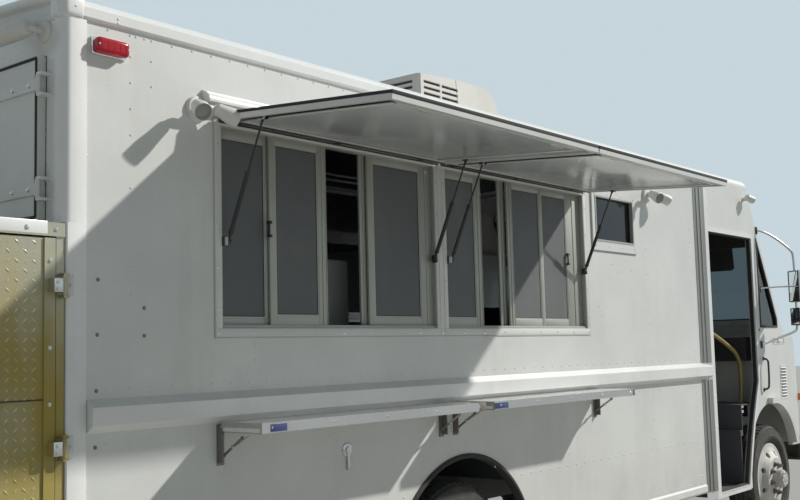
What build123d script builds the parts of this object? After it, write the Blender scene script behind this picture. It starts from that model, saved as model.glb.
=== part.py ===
from build123d import *
import math
import os

# A step van turned into a food truck, standing on its wheels with its two serving hatches open.
# While it is drawn, X runs forward from the rear corner of the body, Y runs to the driver's side
# from the centre line, and Z is the height above the ground. All lengths are millimetres.

# Driving dimensions of the body
BODY_WIDTH = 2340
HALF = BODY_WIDTH / 2
BODY_LENGTH = 5065
WALL = 40
SKIRT_Z = 438
FLOOR_Z = 800
FLOOR_THICK = 40
ROOF_EDGE_Z = 2606
ROOF_RADIUS = 70
ROOF_CROWN = 40
ROOF_THICK = 30
VENT_X = BODY_LENGTH - 715

# Running gear
WHEELBASE = 3988
FRONT_AXLE_X = BODY_LENGTH + 1128
REAR_AXLE_X = FRONT_AXLE_X - WHEELBASE
TYRE_RADIUS = 405
TYRE_WIDTH = 215
RIM_RADIUS = 248
WHEEL_OFFSET = 132
HAND_HOLES = 8
FRONT_WHEEL_Y = HALF - 118
KINGPIN_Y = FRONT_WHEEL_Y - 102
KINGPIN_RADIUS = 14
KNUCKLE_GAP = (344, 466)
TWIN_OUTER_Y = HALF - 166
TWIN_INNER_Y = TWIN_OUTER_Y - 2 * WHEEL_OFFSET
FRAME_Y = (-470, -405)
FRAME_LOW_Z = 544
FRONT_LEAF_Z = 400
REAR_LEAF_Z = 463
PINION_REACH = 240
LEAF_STACK = 36
FRAME_X = (42, BODY_LENGTH + 1755)
CROSS_MEMBER_X = (FRAME_X[0], REAR_AXLE_X - 1205, REAR_AXLE_X - 555, REAR_AXLE_X + 495, REAR_AXLE_X + 1495,
                  BODY_LENGTH - 365, BODY_LENGTH + 135, FRAME_X[1] - 120)
CROSS_MEMBER_Z = 690
ENGINE_HALF = 300
ENGINE_X = (BODY_LENGTH + 595, BODY_LENGTH + 1555)
SHAFT_RADIUS = 45
EXHAUST_Y = 300
EXHAUST_RADIUS = 30
MUFFLER_X = (REAR_AXLE_X + 1275, REAR_AXLE_X + 2045)
TANK_X = (REAR_AXLE_X + 1095, REAR_AXLE_X + 2045)
REAR_ARCH_RADIUS = 575
REAR_ARCH_Z = 356
FRONT_ARCH_RADIUS = 440
FRONT_ARCH_Z = 532
WHEEL_BOX_REAR_X = FRONT_AXLE_X - 478
WHEEL_BOX_Y = TWIN_INNER_Y - 50

# Cab, nose and doors, all placed from the body's front end
DOOR_REAR_X = BODY_LENGTH + 57
DOOR_FRONT_X = BODY_LENGTH + 906
DOOR_LOW_FRONT_X = BODY_LENGTH + 625
DOOR_SILL_Z = 411
DOOR_HEAD_Z = 2232
CAB_FLOOR_X = BODY_LENGTH + 1043
BULKHEAD_X = BODY_LENGTH + 1083
NOSE_REAR_X = BODY_LENGTH + 1085
NOSE_X = BODY_LENGTH + 1840
BUMPER_X = NOSE_X + 105
HOOD_HINGE = (BODY_LENGTH + 1475, 1566)
HOOD_HINGE_Y = (-700, 700)
COWL_Z = 1497
SEAT_Y = HALF - 530
NOSE_FOOT_Z = 620
CAB_DOOR_TRAVEL = 905
CAB_DOOR_WIDTH = 900
DOOR_STORED_X = DOOR_REAR_X - 12 - CAB_DOOR_TRAVEL
FENDER_BULGE = 40

# Serving windows, hatches and shelves: X of the rear and front edge of each
WINDOWS = {"rear": (672, 2000), "front": (2086, 3414)}
HATCHES = {"rear": (656, 2038), "front": (2050, 3425)}
SHELVES = {"rear": (638, 2024), "front": (2096, 3482)}
SMALL_WINDOW = (3551, 4018, 2062, 2324)
WINDOW_SILL_Z = 1543
WINDOW_HEAD_Z = 2313
HATCH_LENGTH = 832
HATCH_DROOP = 4.1
HATCH_HINGE_OUT = 34
HATCH_HINGE_Z = 2350
HATCH_DEPTH = 25
HATCH_SKIN = 6
STRUT_FOOT_OUT = 14
STRUT_FOOT_Z = 1870
STRUT_REACH = 180
STRUT_DROP = 22
STRUT_INSET = 24
SHELF_DEPTH = 245
SHELF_TOP_Z = 1200
SHELF_THICK = 20
SHELF_LIP = 37
SHELF_HINGE_OUT = 26
SHELF_HINGE_Z = 1163
STAY_FOOT_OUT = 14
STAY_FOOT_Z = 1076
STAY_REACH = 112
STAY_TOP_Z = 1142

# Lamps: X or Y of each and the height of its middle
HEADLAMP_Y = (-960, -820, 820, 960)
HEADLAMP_Z = 1000
HEADLAMP_RADIUS = 60.8
FLOODLIGHTS = ((556, 2348), (4180, 2400))
REAR_FLOODLIGHT = (-800, 2540)
MARKER_X = (108, 248)
MARKER_Z = (2482, 2536)
TAIL_LAMP_Y = HALF - 120
TAIL_LAMP_Z = (640, 760)

# Roof cooler: its rear face, seam and nose, half its width and the heights of its top
COOLER_X = (BODY_LENGTH - 2140, BODY_LENGTH - 1735, BODY_LENGTH - 1280)
COOLER_HALF = 380
COOLER_TOP_Z = (3094, 3118)
COOLER_NOSE_RADIUS = 215
COOLER_COLUMNS = ((COOLER_X[0] + 47, COOLER_X[0] + 211), (COOLER_X[0] + 227, COOLER_X[0] + 395))

# Trims of the sides
BELT_Z = (1196, 1308)
BELT_OUT = 37
DOOR_POST_X = (BODY_LENGTH - 117, BODY_LENGTH + 1, BODY_LENGTH + 53)
DOOR_POST_OUT = 30
LOUVRE_X = (NOSE_X - 448, NOSE_X - 342)
LOUVRE_Z = (1005, 1242)
LOUVRE_COUNT = 10

# Rear box, which carries the generator and gas bottles, and what stands behind it
BOX_DEPTH = 610
BOX_TOP_Z = 1885
BOX_FLOOR_Z = 480
REAR_BUMPER_X = -760

# Rear doors and the pins that doors turn on
POST_X = 81
POST_ROUND = 24
DOOR_POST_Y = HALF - 110
REAR_SILL_Z = 1905
REAR_HEAD_Z = 2470
REAR_HINGE = (-34, -DOOR_POST_Y - 2)
REAR_HINGE_Z = (2010, 2365)
BOX_HINGE_X = -18
BOX_HINGE_OUT = 28
BOX_HINGE_Z = (640, 1160, 1680)
PIN_RADIUS = 4
BARREL_RADIUS = 9
RUNNING = 0.1
SEAT_GAP = 0.3
TRACK_Z = DOOR_HEAD_Z + 30

# The widest things on each side, which with the bumpers set the middle of the overall box
MIRROR_OUT = 285
HATCH_OUT = (HATCH_HINGE_OUT + HATCH_LENGTH * math.cos(math.radians(HATCH_DROOP))
             + HATCH_SKIN * math.sin(math.radians(HATCH_DROOP)))
MIDDLE_X = (BUMPER_X + REAR_BUMPER_X) / 2
MIDDLE_Y = (MIRROR_OUT - HATCH_OUT) / 2


def box(x, y, z):
    """A block from its low and high X, Y and Z."""
    size = [high - low for low, high in (x, y, z)]
    middle = [(high + low) / 2 for low, high in (x, y, z)]
    return Pos(*middle) * Box(*size)


def rod(start, end, radius):
    """A round bar between two points."""
    line = Vector(*end) - Vector(*start)
    plane = Plane(origin=start, z_dir=line)
    return extrude(plane * Circle(radius), amount=line.length)


def disc(x, y, z, radius):
    """A cylinder along Y, with its low and high Y."""
    return rod((x, y[0], z), (x, y[1], z), radius)


def side_plane(y):
    """The drawing plane seen from the curb side, X to the right and Z up."""
    return Plane(origin=(0, y, 0), x_dir=(1, 0, 0), z_dir=(0, -1, 0))


def slab(points, y):
    """A plate cut to an outline of X and Z points, between its low and high Y."""
    outline = make_face(Polyline(*points, close=True))
    return extrude(side_plane(y[1]) * outline, amount=y[1] - y[0])


def across(points, x):
    """A bar with a section of Y and Z points, between its low and high X."""
    outline = make_face(Polyline(*points, close=True))
    plane = Plane(origin=(x[0], 0, 0), x_dir=(0, 1, 0), z_dir=(1, 0, 0))
    return extrude(plane * outline, amount=x[1] - x[0])


def mirrored(shape):
    """The same shape on the driver's side."""
    return mirror(shape, about=Plane.XZ)


def both_sides(shape):
    return [shape, mirrored(shape)]


def curb(out):
    """Y of a point that lies so far outside the curb side of the body."""
    return -HALF - out


def wall_span():
    return (-HALF, -HALF + WALL)


def roof_section(drop, side):
    """The roof's section, set in by so much on top and at the sides."""
    edge_y = HALF - side
    radius = ROOF_RADIUS - drop
    top_z = ROOF_EDGE_Z + ROOF_RADIUS - drop
    curb_side = Line((-edge_y, ROOF_EDGE_Z - 16), (-edge_y, ROOF_EDGE_Z))
    left = RadiusArc((-edge_y, ROOF_EDGE_Z), (-edge_y + radius, top_z), radius)
    crown = ThreePointArc((-edge_y + radius, top_z), (0, top_z + ROOF_CROWN), (edge_y - radius, top_z))
    right = RadiusArc((edge_y - radius, top_z), (edge_y, ROOF_EDGE_Z), radius)
    driver_side = Line((edge_y, ROOF_EDGE_Z), (edge_y, ROOF_EDGE_Z - 16))
    floor = Line((edge_y, ROOF_EDGE_Z - 16), (-edge_y, ROOF_EDGE_Z - 16))
    return make_face([curb_side, left, crown, right, driver_side, floor])


def roof_solid(x, drop=0, side=0):
    plane = Plane(origin=(x[0], 0, 0), x_dir=(0, 1, 0), z_dir=(1, 0, 0))
    return extrude(plane * roof_section(drop, side), amount=x[1] - x[0])


def make_roof():
    span = (0, BODY_LENGTH)
    shell = roof_solid(span) - roof_solid(span, ROOF_THICK, WALL)
    crown_z = ROOF_EDGE_Z + ROOF_RADIUS + ROOF_CROWN
    vent = Pos(VENT_X, 0, crown_z + 30) * Box(320, 320, 100)
    cap = Pos(VENT_X, 0, crown_z + 95) * Box(430, 430, 50)
    cap = chamfer(cap.edges().group_by(Axis.Z)[-1], 24)
    return shell + vent + cap


def make_side_wall(windows):
    """One body side with its wheel arch, and on the curb side its windows."""
    y = wall_span()
    front = BODY_LENGTH
    wall = box((POST_X, front), y, (SKIRT_Z, ROOF_EDGE_Z - 16))
    wall -= disc(REAR_AXLE_X - 15, (y[0] - 5, y[1] + 5), REAR_ARCH_Z, REAR_ARCH_RADIUS)
    if windows:
        for low, high in WINDOWS.values():
            wall -= box((low, high), (y[0] - 5, y[1] + 5), (WINDOW_SILL_Z, WINDOW_HEAD_Z))
        low, high, sill, head = SMALL_WINDOW
        wall -= box((low, high), (y[0] - 5, y[1] + 5), (sill, head))
    return wall


def rail_bar(x, low_z, high_z, out, slope):
    """A pressed rail along the side, with sloped flanges and a raised flat face."""
    points = [(curb(0), low_z), (curb(out), low_z + slope), (curb(out), high_z - slope), (curb(0), high_z)]
    return across(points, x)


def door_post():
    """The swelled post behind a cab doorway, sloped on its rear side."""
    rear, front, end = DOOR_POST_X
    points = [(rear, curb(0)), (front, curb(DOOR_POST_OUT)), (end, curb(DOOR_POST_OUT)), (end, curb(0))]
    plane = Plane.XY.offset(DOOR_SILL_Z - 22)
    return extrude(plane * make_face(Polyline(*points, close=True)), amount=ROOF_EDGE_Z - DOOR_SILL_Z + 2)


def make_body_rails():
    """Belt rails with the door posts, roof rails and skirt rails of both sides."""
    belt = rail_bar((84, DOOR_POST_X[1] + 7), *BELT_Z, BELT_OUT, 26) + door_post()
    roof_rail = rail_bar((0, BODY_LENGTH), ROOF_EDGE_Z - 18, ROOF_EDGE_Z + 30, 14, 8)
    arch_front = REAR_AXLE_X - 15 + REAR_ARCH_RADIUS + 20
    arch_rear = REAR_AXLE_X - 15 - REAR_ARCH_RADIUS - 20
    spans = ((84, arch_rear), (arch_front, DOOR_POST_X[0] - 5))
    skirts = [rail_bar(x, SKIRT_Z, SKIRT_Z + 60, 8, 12) for x in spans]
    return [piece for bar in [belt, roof_rail, *skirts] for piece in both_sides(bar)]


def make_rear_frame():
    """Corner posts, header and lower panel of the rear end, with the rear doors' hinge pins."""
    post = box((0, POST_X), (-HALF, -DOOR_POST_Y), (SKIRT_Z, ROOF_EDGE_Z - 16))
    corner = post.edges().filter_by(Axis.Z).group_by(Axis.X)[0].sort_by(Axis.Y)[0]
    post = fillet(corner, POST_ROUND)
    for z in REAR_HINGE_Z:
        post += rod((*REAR_HINGE, z - 40), (*REAR_HINGE, z + 40), PIN_RADIUS)
        for lug_z in ((z - 40, z - 30.3), (z + 30.3, z + 40)):
            post += box((REAR_HINGE[0] - 5, 0), (REAR_HINGE[1] - 23, REAR_HINGE[1] + 4), lug_z)
    frame = post + mirrored(post)
    frame += box((0, WALL), (-DOOR_POST_Y, DOOR_POST_Y), (SKIRT_Z, REAR_SILL_Z))
    return frame + box((0, WALL), (-DOOR_POST_Y, DOOR_POST_Y), (REAR_HEAD_Z, ROOF_EDGE_Z - 16))


def wheel_box(x, z, open_rear):
    """A thin box over wheels on the curb side, open below and to the outside."""
    skin = 8
    outer = box(x, (-HALF + WALL, -WHEEL_BOX_Y + 130 * open_rear), z)
    inner_x = (x[0] + skin, x[1] - skin * open_rear)
    inner = box(inner_x, (-HALF, -WHEEL_BOX_Y + 130 * open_rear - skin), (z[0] - 5, z[1] - skin))
    return outer, inner


def make_floor():
    """Cargo and cab floor, with a wheel box over each wheel and a hole for the engine."""
    wide = HALF - WALL
    floor = box((WALL, CAB_FLOOR_X), (-wide, wide), (FLOOR_Z - FLOOR_THICK, FLOOR_Z))
    floor -= box((ENGINE_X[0] - 40, CAB_FLOOR_X + 2), (-340, 340), (FLOOR_Z - 60, FLOOR_Z + 5))
    step_well = box((DOOR_REAR_X, DOOR_LOW_FRONT_X), (-wide - 5, -wide + 330), (FLOOR_Z - 60, FLOOR_Z + 5))
    post = box((0, POST_X), (-HALF, -DOOR_POST_Y), (FLOOR_Z - 60, FLOOR_Z + 5))
    pocket = box((DOOR_STORED_X - 10, DOOR_REAR_X + 5), (-wide - 5, -wide + 52), (FLOOR_Z - 60, FLOOR_Z + 5))
    for notch in (step_well, post, pocket):
        floor = floor - notch - mirrored(notch)
    low = FLOOR_Z - FLOOR_THICK
    rear = wheel_box((REAR_AXLE_X - 500, REAR_AXLE_X + 500), (low, 960), 1)
    front = wheel_box((WHEEL_BOX_REAR_X, CAB_FLOOR_X), (low, 985), 0)
    for outer, inner in (rear, front):
        for solid, hollow in zip(both_sides(outer), both_sides(inner)):
            floor = floor + solid - hollow
    return floor


def make_steps():
    """Step well plates inside both cab doorways."""
    wide = HALF - WALL
    x = (DOOR_REAR_X, DOOR_LOW_FRONT_X)
    tread = box(x, (-wide, -wide + 330), (DOOR_SILL_Z - 30, DOOR_SILL_Z))
    riser = box(x, (-wide + 320, -wide + 330), (DOOR_SILL_Z, FLOOR_Z))
    front = box((x[1] - 10, x[1]), (-wide, -wide + 320), (DOOR_SILL_Z, FLOOR_Z))
    return both_sides(tread + riser + front)


# Side view of the cab and nose: X and Z of the corners, from the door post round the front
RAKE_TOP = (BODY_LENGTH + 880, 2570)
RAKE_FOOT = (BODY_LENGTH + 1435, 1585)
COWL_TIP = (BODY_LENGTH + 1465, 1560)


def rake_x(z):
    """X of the raked windscreen plane at a height."""
    share = (RAKE_TOP[1] - z) / (RAKE_TOP[1] - RAKE_FOOT[1])
    return RAKE_TOP[0] + share * (RAKE_FOOT[0] - RAKE_TOP[0])


def cab_profile(inset):
    """Side outline of the cab, set in by so much at the front."""
    return [(BODY_LENGTH, DOOR_SILL_Z - 30), (BODY_LENGTH, ROOF_EDGE_Z - 16),
            (RAKE_TOP[0] - inset, ROOF_EDGE_Z - 16), (RAKE_TOP[0] - inset, RAKE_TOP[1]),
            (RAKE_FOOT[0] - inset, RAKE_FOOT[1]), (COWL_TIP[0] - inset, COWL_TIP[1]),
            (COWL_TIP[0] - inset, COWL_Z), (BULKHEAD_X - inset, COWL_Z),
            (BULKHEAD_X - inset, DOOR_SILL_Z - 30)]


def doorway():
    """Side outline of the doorway, whose lower front corner goes round the wheel arch."""
    corner = (DOOR_LOW_FRONT_X, DOOR_SILL_Z)
    sill = Line((DOOR_REAR_X, DOOR_SILL_Z), corner)
    sweep = ThreePointArc(corner, (DOOR_LOW_FRONT_X + 125, 800), (DOOR_FRONT_X, 1150))
    front = Line((DOOR_FRONT_X, 1150), (DOOR_FRONT_X, DOOR_HEAD_Z))
    head = Line((DOOR_FRONT_X, DOOR_HEAD_Z), (DOOR_REAR_X, DOOR_HEAD_Z))
    rear = Line((DOOR_REAR_X, DOOR_HEAD_Z), (DOOR_REAR_X, DOOR_SILL_Z))
    return make_face([sill, sweep, front, head, rear])


def front_arches():
    """What the front wheels need clear on both sides, as far in as the wheel boxes."""
    y = (curb(FENDER_BULGE) - 5, -WHEEL_BOX_Y)
    x = (FRONT_AXLE_X - FRONT_ARCH_RADIUS, FRONT_AXLE_X + FRONT_ARCH_RADIUS)
    arch = disc(FRONT_AXLE_X, y, FRONT_ARCH_Z, FRONT_ARCH_RADIUS) + box(x, y, (300, FRONT_ARCH_Z))
    return both_sides(arch)


QUARTER_X = (BODY_LENGTH + 1020, BODY_LENGTH + 1358)
QUARTER_GLASS = [(QUARTER_X[0], 2215), (QUARTER_X[0], 1560), (QUARTER_X[1], 1560), (QUARTER_X[1], 1615)]


def make_cab_shell():
    """Cab side frames, windscreen frame, cowl and bulkhead, with the doorways cut."""
    shell = slab(cab_profile(0), (-HALF, HALF))
    shell -= slab(cab_profile(WALL), (-HALF + WALL, HALF - WALL))
    shell -= box((BODY_LENGTH - 5, BODY_LENGTH + WALL + 5), (-HALF + WALL, HALF - WALL), (300, 2700))
    shell -= extrude(side_plane(HALF + 5) * doorway(), amount=BODY_WIDTH + 10)
    shell -= box((BODY_LENGTH - 5, BULKHEAD_X), (-HALF + WALL, HALF - WALL), (300, FLOOR_Z))
    shell -= box((BULKHEAD_X - 48, BULKHEAD_X + 12), (-345, 345), (FLOOR_Z - 5, 1295))
    for low, high in ((60, HALF - 90), (-HALF + 90, -60)):
        shell -= windscreen_block(low, high, -200, 200)
    shell -= slab(QUARTER_GLASS, (-HALF - 5, HALF + 5))
    for arch in front_arches():
        shell -= arch
    for y in HOOD_HINGE_Y:
        shell += hood_rod(y, 42, PIN_RADIUS)
        for lug_y in ((y - 42, y - 30 - SEAT_GAP), (y + 30 + SEAT_GAP, y + 42)):
            lug_z = (HOOD_HINGE[1] - 6, HOOD_HINGE[1] + 5)
            shell += box((HOOD_HINGE[0] - 35, HOOD_HINGE[0] + 6), lug_y, lug_z)
    return shell


def windscreen_block(low_y, high_y, back, front):
    """A block at the raked windscreen, for a pane or its opening, between two places along X."""
    foot_z, head_z = 1620, 2385
    points = [(rake_x(foot_z) + back, foot_z), (rake_x(foot_z) + front, foot_z),
              (rake_x(head_z) + front, head_z), (rake_x(head_z) + back, head_z)]
    return slab(points, (low_y, high_y))


def make_cab_roof():
    """Front roof cap over the cab, rounded down to the windscreen."""
    cap = roof_solid((BODY_LENGTH, RAKE_TOP[0]))
    radius = 100
    nose = box((RAKE_TOP[0] - radius, RAKE_TOP[0] + 5), (-HALF, HALF), (ROOF_EDGE_Z, 2800))
    top_z = ROOF_EDGE_Z + ROOF_RADIUS + ROOF_CROWN
    nose -= disc(RAKE_TOP[0] - radius, (-HALF - 5, HALF + 5), top_z - radius, radius)
    cap -= nose
    return cap - roof_solid((BODY_LENGTH - 5, RAKE_TOP[0] - WALL), ROOF_THICK + 20, WALL)


NOSE_TOP = [(NOSE_REAR_X, COWL_Z), (NOSE_X - 175, COWL_Z), (NOSE_X - 93, 1400), (NOSE_X - 17, 1314),
            (NOSE_X, 1200), (NOSE_X, NOSE_FOOT_Z)]


def nose_outline(inset):
    """Side outline of the nose, set in by so much."""
    foot_z = NOSE_FOOT_Z - 5 * (inset > 0)
    top = [(x - inset, z - inset) for x, z in NOSE_TOP[1:-1]]
    return [(NOSE_REAR_X, COWL_Z - inset), *top, (NOSE_X - inset, foot_z), (NOSE_REAR_X, foot_z)]


def make_nose():
    """Front sheet metal round the engine: fenders, nose panel and wheel arches."""
    nose = slab(nose_outline(0), (-HALF, HALF))
    nose = fillet(nose.edges().filter_by(Axis.Z).group_by(Axis.X)[-1], 130)
    nose -= slab(nose_outline(30), (-HALF + 30, HALF - 30))
    nose -= box((NOSE_REAR_X - 10, NOSE_REAR_X + 10), (-HALF + 30, HALF - 30), (600, COWL_Z - 30))
    lip = disc(FRONT_AXLE_X, (curb(FENDER_BULGE), curb(-4)), FRONT_ARCH_Z, FRONT_ARCH_RADIUS + 45)
    lip &= box((NOSE_REAR_X, NOSE_X - 105), (curb(FENDER_BULGE), curb(-4)), (640, 1100))
    for side in both_sides(lip):
        nose += side
    for arch in front_arches():
        nose -= arch
    nose -= box((NOSE_X - 60, NOSE_X + 20), (-720, 720), (820, 1180))
    nose -= box((HOOD_HINGE[0] + 20, HOOD_HINGE[0] + 160), HOOD_HINGE_Y, (COWL_Z - 60, COWL_Z + 20))
    pitch = (LOUVRE_Z[1] - LOUVRE_Z[0]) / LOUVRE_COUNT
    for step in range(LOUVRE_COUNT):
        low = LOUVRE_Z[0] + pitch * (step + 0.2)
        slot = box(LOUVRE_X, (curb(5), curb(-35)), (low, low + 0.6 * pitch))
        nose = nose - slot - mirrored(slot)
    for y in HEADLAMP_Y:
        nose -= rod((NOSE_X - 60, y, HEADLAMP_Z), (NOSE_X + 30, y, HEADLAMP_Z), HEADLAMP_RADIUS + 0.2)
    return nose


def make_hood():
    """Engine lid above the seam, from its hinges at the cowl down to the nose."""
    seat_z = COWL_Z + SEAT_GAP
    rear, front = HOOD_HINGE[0] - 4, HOOD_HINGE[0] + 160
    lid = slab([(rear, seat_z), (rear, 1556), (front, 1514), (front + 38, seat_z)], (-HALF + 20, HALF - 20))
    hollow = [(rear + 20, 1490), (rear + 20, 1538), (front - 15, 1506), (front, 1490)]
    lid -= slab(hollow, (-HALF + 50, HALF - 50))
    for y in HOOD_HINGE_Y:
        lid += box((rear, rear + 24), (y - 30, y + 30), (1545, HOOD_HINGE[1] - 4))
        lid += hood_rod(y, 30, BARREL_RADIUS)
        lid -= hood_rod(y, 31, PIN_RADIUS + RUNNING)
    return lid


def hood_rod(y, half, radius):
    """A round bar on the hood's hinge line."""
    x, z = HOOD_HINGE
    return rod((x, y - half, z), (x, y + half, z), radius)


def make_chassis_frame():
    """Two channel rails, the cross members between them, spring hangers and engine mounts."""
    top = FLOOR_Z - FLOOR_THICK
    rail = box(FRAME_X, FRAME_Y, (FRAME_LOW_Z, top))
    channel_y = (FRAME_Y[0] + 8, FRAME_Y[1] + 5)
    rail -= box((FRAME_X[0] - 12, FRAME_X[1] + 5), channel_y, (FRAME_LOW_Z + 8, top - 8))
    for axle_x, leaf_z in ((REAR_AXLE_X, REAR_LEAF_Z), (FRONT_AXLE_X, FRONT_LEAF_Z)):
        for x in (axle_x - 600, axle_x + 600):
            rail += box((x - 20, x + 20), (FRAME_Y[0], FRAME_Y[1]), (leaf_z + LEAF_STACK, FRAME_LOW_Z + 4))
    for x in (ENGINE_X[0] + 200, ENGINE_X[1] - 220):
        rail += box((x - 40, x + 40), (FRAME_Y[0] + 2, -ENGINE_HALF), (640, 690))
    frame = rail + mirrored(rail)
    for x in CROSS_MEMBER_X:
        frame += box((x, x + 90), (FRAME_Y[0] + 4, -FRAME_Y[0] - 4), (CROSS_MEMBER_Z, top - 10))
    return frame


def make_engine():
    return box(ENGINE_X, (-ENGINE_HALF, ENGINE_HALF), (600, 1250))


def make_driveline():
    """Gearbox and propeller shaft, and the exhaust, which leaves behind the fuel tank."""
    gearbox = box((ENGINE_X[0] - 330, ENGINE_X[0]), (-150, 150), (560, 680))
    gearbox = chamfer(gearbox.edges().filter_by(Axis.X), 30)
    pinion_x = REAR_AXLE_X + PINION_REACH
    shaft = rod((pinion_x, 0, TYRE_RADIUS), (ENGINE_X[0] - 320, 0, 620), SHAFT_RADIUS)
    shaft -= box((pinion_x - 20, pinion_x + SEAT_GAP), (-100, 100), (TYRE_RADIUS - 100, TYRE_RADIUS + 100))
    out_x, hanger_x = MUFFLER_X[0] - 520, CROSS_MEMBER_X[4]
    bends = [(ENGINE_X[0] + 60, 300, 640), (ENGINE_X[0] - 100, 335, 560), (MUFFLER_X[1], EXHAUST_Y, 560),
             (MUFFLER_X[0], EXHAUST_Y, 560), (out_x + 100, EXHAUST_Y, 490),
             (out_x, 400, 490), (out_x, HALF - 80, 490)]
    exhaust = rod(bends[2], bends[3], 95)
    exhaust += box((hanger_x + 20, hanger_x + 60), (280, 320), (600, CROSS_MEMBER_Z))
    for start, end in zip(bends, bends[1:]):
        exhaust += rod(start, end, EXHAUST_RADIUS)
    for bend in bends[1:2] + bends[4:6]:
        exhaust += Pos(*bend) * Sphere(EXHAUST_RADIUS)
    exhaust -= box((ENGINE_X[0] - 160, ENGINE_X[1]), (-ENGINE_HALF, ENGINE_HALF), (500, 1250))
    return [gearbox + shaft, exhaust]


def ring(x, y, z, outer, inner):
    return disc(x, y, z, outer) - disc(x, (y[0] - 1, y[1] + 1), z, inner)


def spun(section, x, y_middle):
    """A solid of revolution about a wheel's axle, from its radii and places along the axle."""
    plane = Plane(origin=(x, y_middle, TYRE_RADIUS), x_dir=(1, 0, 0), z_dir=(0, 0, 1))
    face = make_face(Polyline(*section, close=True))
    return revolve(plane * face, axis=Axis((x, y_middle, TYRE_RADIUS), (0, 1, 0)))


def tyre(x, y_middle):
    """A tyre with rounded shoulders, open to its rim."""
    side = TYRE_WIDTH / 2
    bead = RIM_RADIUS + 4
    half = [(bead, 77), (bead + 14, 77), (bead + 60, side), (TYRE_RADIUS - 34, side - 4),
            (TYRE_RADIUS, side - 30)]
    section = half + [(radius, -along) for radius, along in reversed(half)]
    return spun(section, x, y_middle)


def rim(x, y_middle, towards):
    """A pressed steel wheel whose disc stands to one side, with round hand holes."""
    r = RIM_RADIUS
    face = WHEEL_OFFSET
    section = [(r + 14, -88), (r + 14, -81), (r + 3.7, -79), (r + 3.7, 79), (r + 14, 81), (r + 14, 88),
               (r - 16, 88), (r - 48, 98), (154, face), (65, face), (65, face - 12), (146, face - 12),
               (190, 86), (r - 12, 64), (r - 8, -76)]
    wheel = spun([(radius, towards * along) for radius, along in section], x, y_middle)
    for step in range(HAND_HOLES):
        angle = 2 * math.pi * (step + 0.5) / HAND_HOLES
        hole_x = x + 192 * math.cos(angle)
        hole_z = TYRE_RADIUS + 192 * math.sin(angle)
        wheel -= disc(hole_x, (y_middle - 150, y_middle + 150), hole_z, 20)
    return wheel


def make_front_wheel():
    """Steered wheel with its disc outwards, brake drum and protruding hub."""
    y = -FRONT_WHEEL_Y
    face = y - WHEEL_OFFSET
    wheel = rim(FRONT_AXLE_X, y, -1)
    wheel += ring(FRONT_AXLE_X, (face, face + 40), TYRE_RADIUS, 140, 26)
    hub = ring(FRONT_AXLE_X, (face - 56, face + 2), TYRE_RADIUS, 66, 26)
    cap = disc(FRONT_AXLE_X, (face - 70, face - 56), TYRE_RADIUS, 54)
    return wheel + hub + cap


def make_front_tyre():
    return tyre(FRONT_AXLE_X, -FRONT_WHEEL_Y)


def make_rear_wheel():
    """Twin wheels bolted disc to disc on one hub."""
    face = -TWIN_INNER_Y - WHEEL_OFFSET
    outer = rim(REAR_AXLE_X, -TWIN_OUTER_Y, 1)
    inner = rim(REAR_AXLE_X, -TWIN_INNER_Y, -1)
    hub = ring(REAR_AXLE_X, (face - 130, face + 120), TYRE_RADIUS, 66, 36)
    flange = ring(REAR_AXLE_X, (face, face + 30), TYRE_RADIUS, 140, 60)
    cap = disc(REAR_AXLE_X, (face - 142, face - 129), TYRE_RADIUS, 66)
    return outer + inner + hub + flange + cap


def make_rear_tyres():
    return [tyre(REAR_AXLE_X, -TWIN_OUTER_Y), tyre(REAR_AXLE_X, -TWIN_INNER_Y)]


def leaf_spring(x, y, z_low):
    leaves = box((x - 620, x + 620), (y - 32, y + 32), (z_low + 24, z_low + 36))
    leaves += box((x - 460, x + 460), (y - 32, y + 32), (z_low + 12, z_low + 24))
    return leaves + box((x - 300, x + 300), (y - 32, y + 32), (z_low, z_low + 12))


def make_front_axle():
    """A forged beam with kingpin eyes, on its two leaf springs."""
    x = (FRONT_AXLE_X - 35, FRONT_AXLE_X + 35)
    axle = box(x, (-KINGPIN_Y + 60, KINGPIN_Y - 60), (310, FRONT_LEAF_Z))
    for web_x in ((x[0] - 5, x[0] + 26), (x[1] - 26, x[1] + 5)):
        axle -= box(web_x, (-340, 340), (328, FRONT_LEAF_Z - 18))
    eye_height = KNUCKLE_GAP[1] - KNUCKLE_GAP[0] - 2 * SEAT_GAP
    for side in (-1, 1):
        eye_y = side * KINGPIN_Y
        eye = Pos(FRONT_AXLE_X, eye_y, sum(KNUCKLE_GAP) / 2)
        axle += eye * Cylinder(38, eye_height)
        axle += box((x[0] + 5, x[1] - 5), sorted((eye_y, eye_y - side * 70)), (346, FRONT_LEAF_Z))
        axle -= eye * Cylinder(KINGPIN_RADIUS + RUNNING, 200)
        axle += leaf_spring(FRONT_AXLE_X, side * 437, FRONT_LEAF_Z)
    return axle


def make_knuckle():
    """Steering knuckle: two arms over and under the axle eye, its kingpin and the wheel's spindle."""
    x = FRONT_AXLE_X
    y = -KINGPIN_Y
    arms_z = ((KNUCKLE_GAP[0] - 33, KNUCKLE_GAP[0]), (KNUCKLE_GAP[1], KNUCKLE_GAP[1] + 33))
    knuckle = box((x - 40, x + 40), (y - 62, y - 42), (arms_z[0][0], arms_z[1][1]))
    for low, high in arms_z:
        knuckle += box((x - 40, x + 40), (y - 50, y), (low, high))
        knuckle += Pos(x, y, (low + high) / 2) * Cylinder(40, high - low)
    knuckle += rod((x, y, arms_z[0][0]), (x, y, arms_z[1][1]), KINGPIN_RADIUS)
    return knuckle + disc(x, (-FRONT_WHEEL_Y - WHEEL_OFFSET - 50, y - 50), TYRE_RADIUS, 25.9)


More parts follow.
